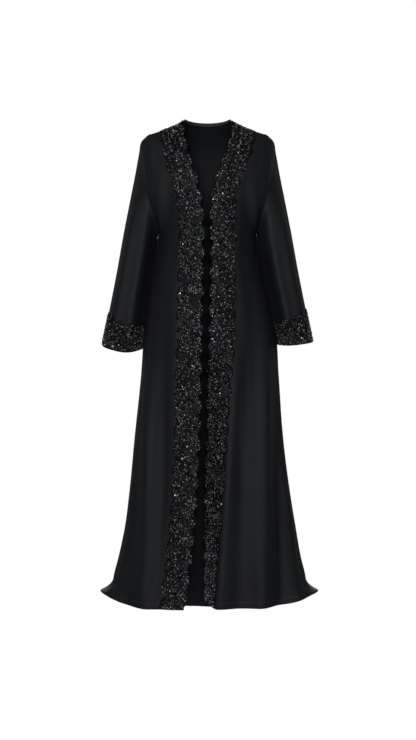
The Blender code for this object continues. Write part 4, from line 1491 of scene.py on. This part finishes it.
def neck_tape(back, out, stitching):
    """The tape inside the back neck, with a stitched line near each edge."""
    half = back.shape[1] // 2
    columns = slice(half - NECK_COLUMNS, half + NECK_COLUMNS + 1)
    top, below = (back[row, columns] - out[row, columns] * CLOTH for row in (0, UNDERARM_ROW // 6))
    heads = unit(out[0, columns] + out[UNDERARM_ROW // 6, columns])
    run = unit(below - top)
    steps = np.array([0.5, 1.2, 3.4, 5.6, 7.8, 9.3, TAPE_WIDTH])
    face = np.array([top + run * step - heads * (TAPE_STAND_OFF + 0.4) for step in steps])
    head = np.broadcast_to(heads, face.shape)
    outer, inner = face - head * 0.3, face - head * TAPE
    band = band_of(inner.transpose(1, 0, 2), -head.transpose(1, 0, 2), steps)
    stitches = stitch_row("tape_stitches", band, (1.8, 8.6), stitching, pitch=3.0)
    piece = shell("cloth_neck_tape", outer, inner, head, woven_tape())
    cut = cut_of(outer)
    cut["flat"] = (cut["flat"][0], TAPE_WIDTH * MM)
    declare("neck_tape")


def make_garment():
    cloth = crepe("black crepe", 0.6, 0.08), crepe("black crepe, wrong side", 0.74, 0.055)
    stitching = sewing_thread()
    finishes = {"net": net_cloth(), "embroidery": embroidery(), "beads": beads()}
    fronts, back = creased_body()
    out_fronts, out_back = seamed_body(fronts, back)
    make_back(back, out_back, cloth, stitching)
    for side, word in ((-1, "right"), (1, "left")):
        make_front(side, word, fronts[side], out_fronts[side], cloth, stitching, finishes)
        make_sleeve(side, word, cloth, finishes)


# The stage

def placed(name, data, place):
    """An object of the scene at a place."""
    made = bpy.data.objects.new(name, data)
    made.location = place
    bpy.context.scene.collection.objects.link(made)
    return made


def make_room():
    """A white room whose light is dimmer than it looks."""
    world = bpy.data.worlds.new("studio")
    world.use_nodes = True
    tree = world.node_tree
    backdrop = tree.nodes["Background"]
    backdrop.inputs["Color"].default_value = (1, 1, 1, 1)
    seen = node(tree, "ShaderNodeLightPath")["Is Camera Ray"]
    varied(tree, backdrop.inputs["Strength"], seen, ROOM_LIGHT, 1.0)
    bpy.context.scene.world = world


def make_floor():
    turns = 2 * math.pi * np.arange(FLOOR_SIDES) / FLOOR_SIDES
    rim = [(FLOOR_RADIUS * math.cos(a), FLOOR_RADIUS * math.sin(a), -FLOOR_DROP) for a in turns]
    disc = bpy.data.meshes.new("floor")
    disc.from_pydata(rim, [], [range(len(rim))])
    disc.materials.append(plaster())
    floor = placed("floor", disc, (0, 0, 0))


def make_stage():
    scene = bpy.context.scene
    scene.view_settings.view_transform = "Standard"
    make_room()
    make_floor()
    for name, (place, size, power) in LIGHTS.items():
        light = bpy.data.lights.new(name, "AREA")
        light.size = size
        light.energy = power
        x, y, z = np.array(LIGHT_AIM) - np.array(place)
        lamp = placed(name, light, place)
        lamp.rotation_euler = (math.atan2(math.hypot(x, y), -z), 0, math.atan2(-x, y))
    camera = bpy.data.cameras.new("camera")
    camera.lens = LENS
    camera.sensor_width = 36.0
    scene.camera = placed("camera", camera, CAMERA_PLACE)
    scene.camera.rotation_euler = (math.pi / 2, 0, 0)


make_garment()
make_stage()
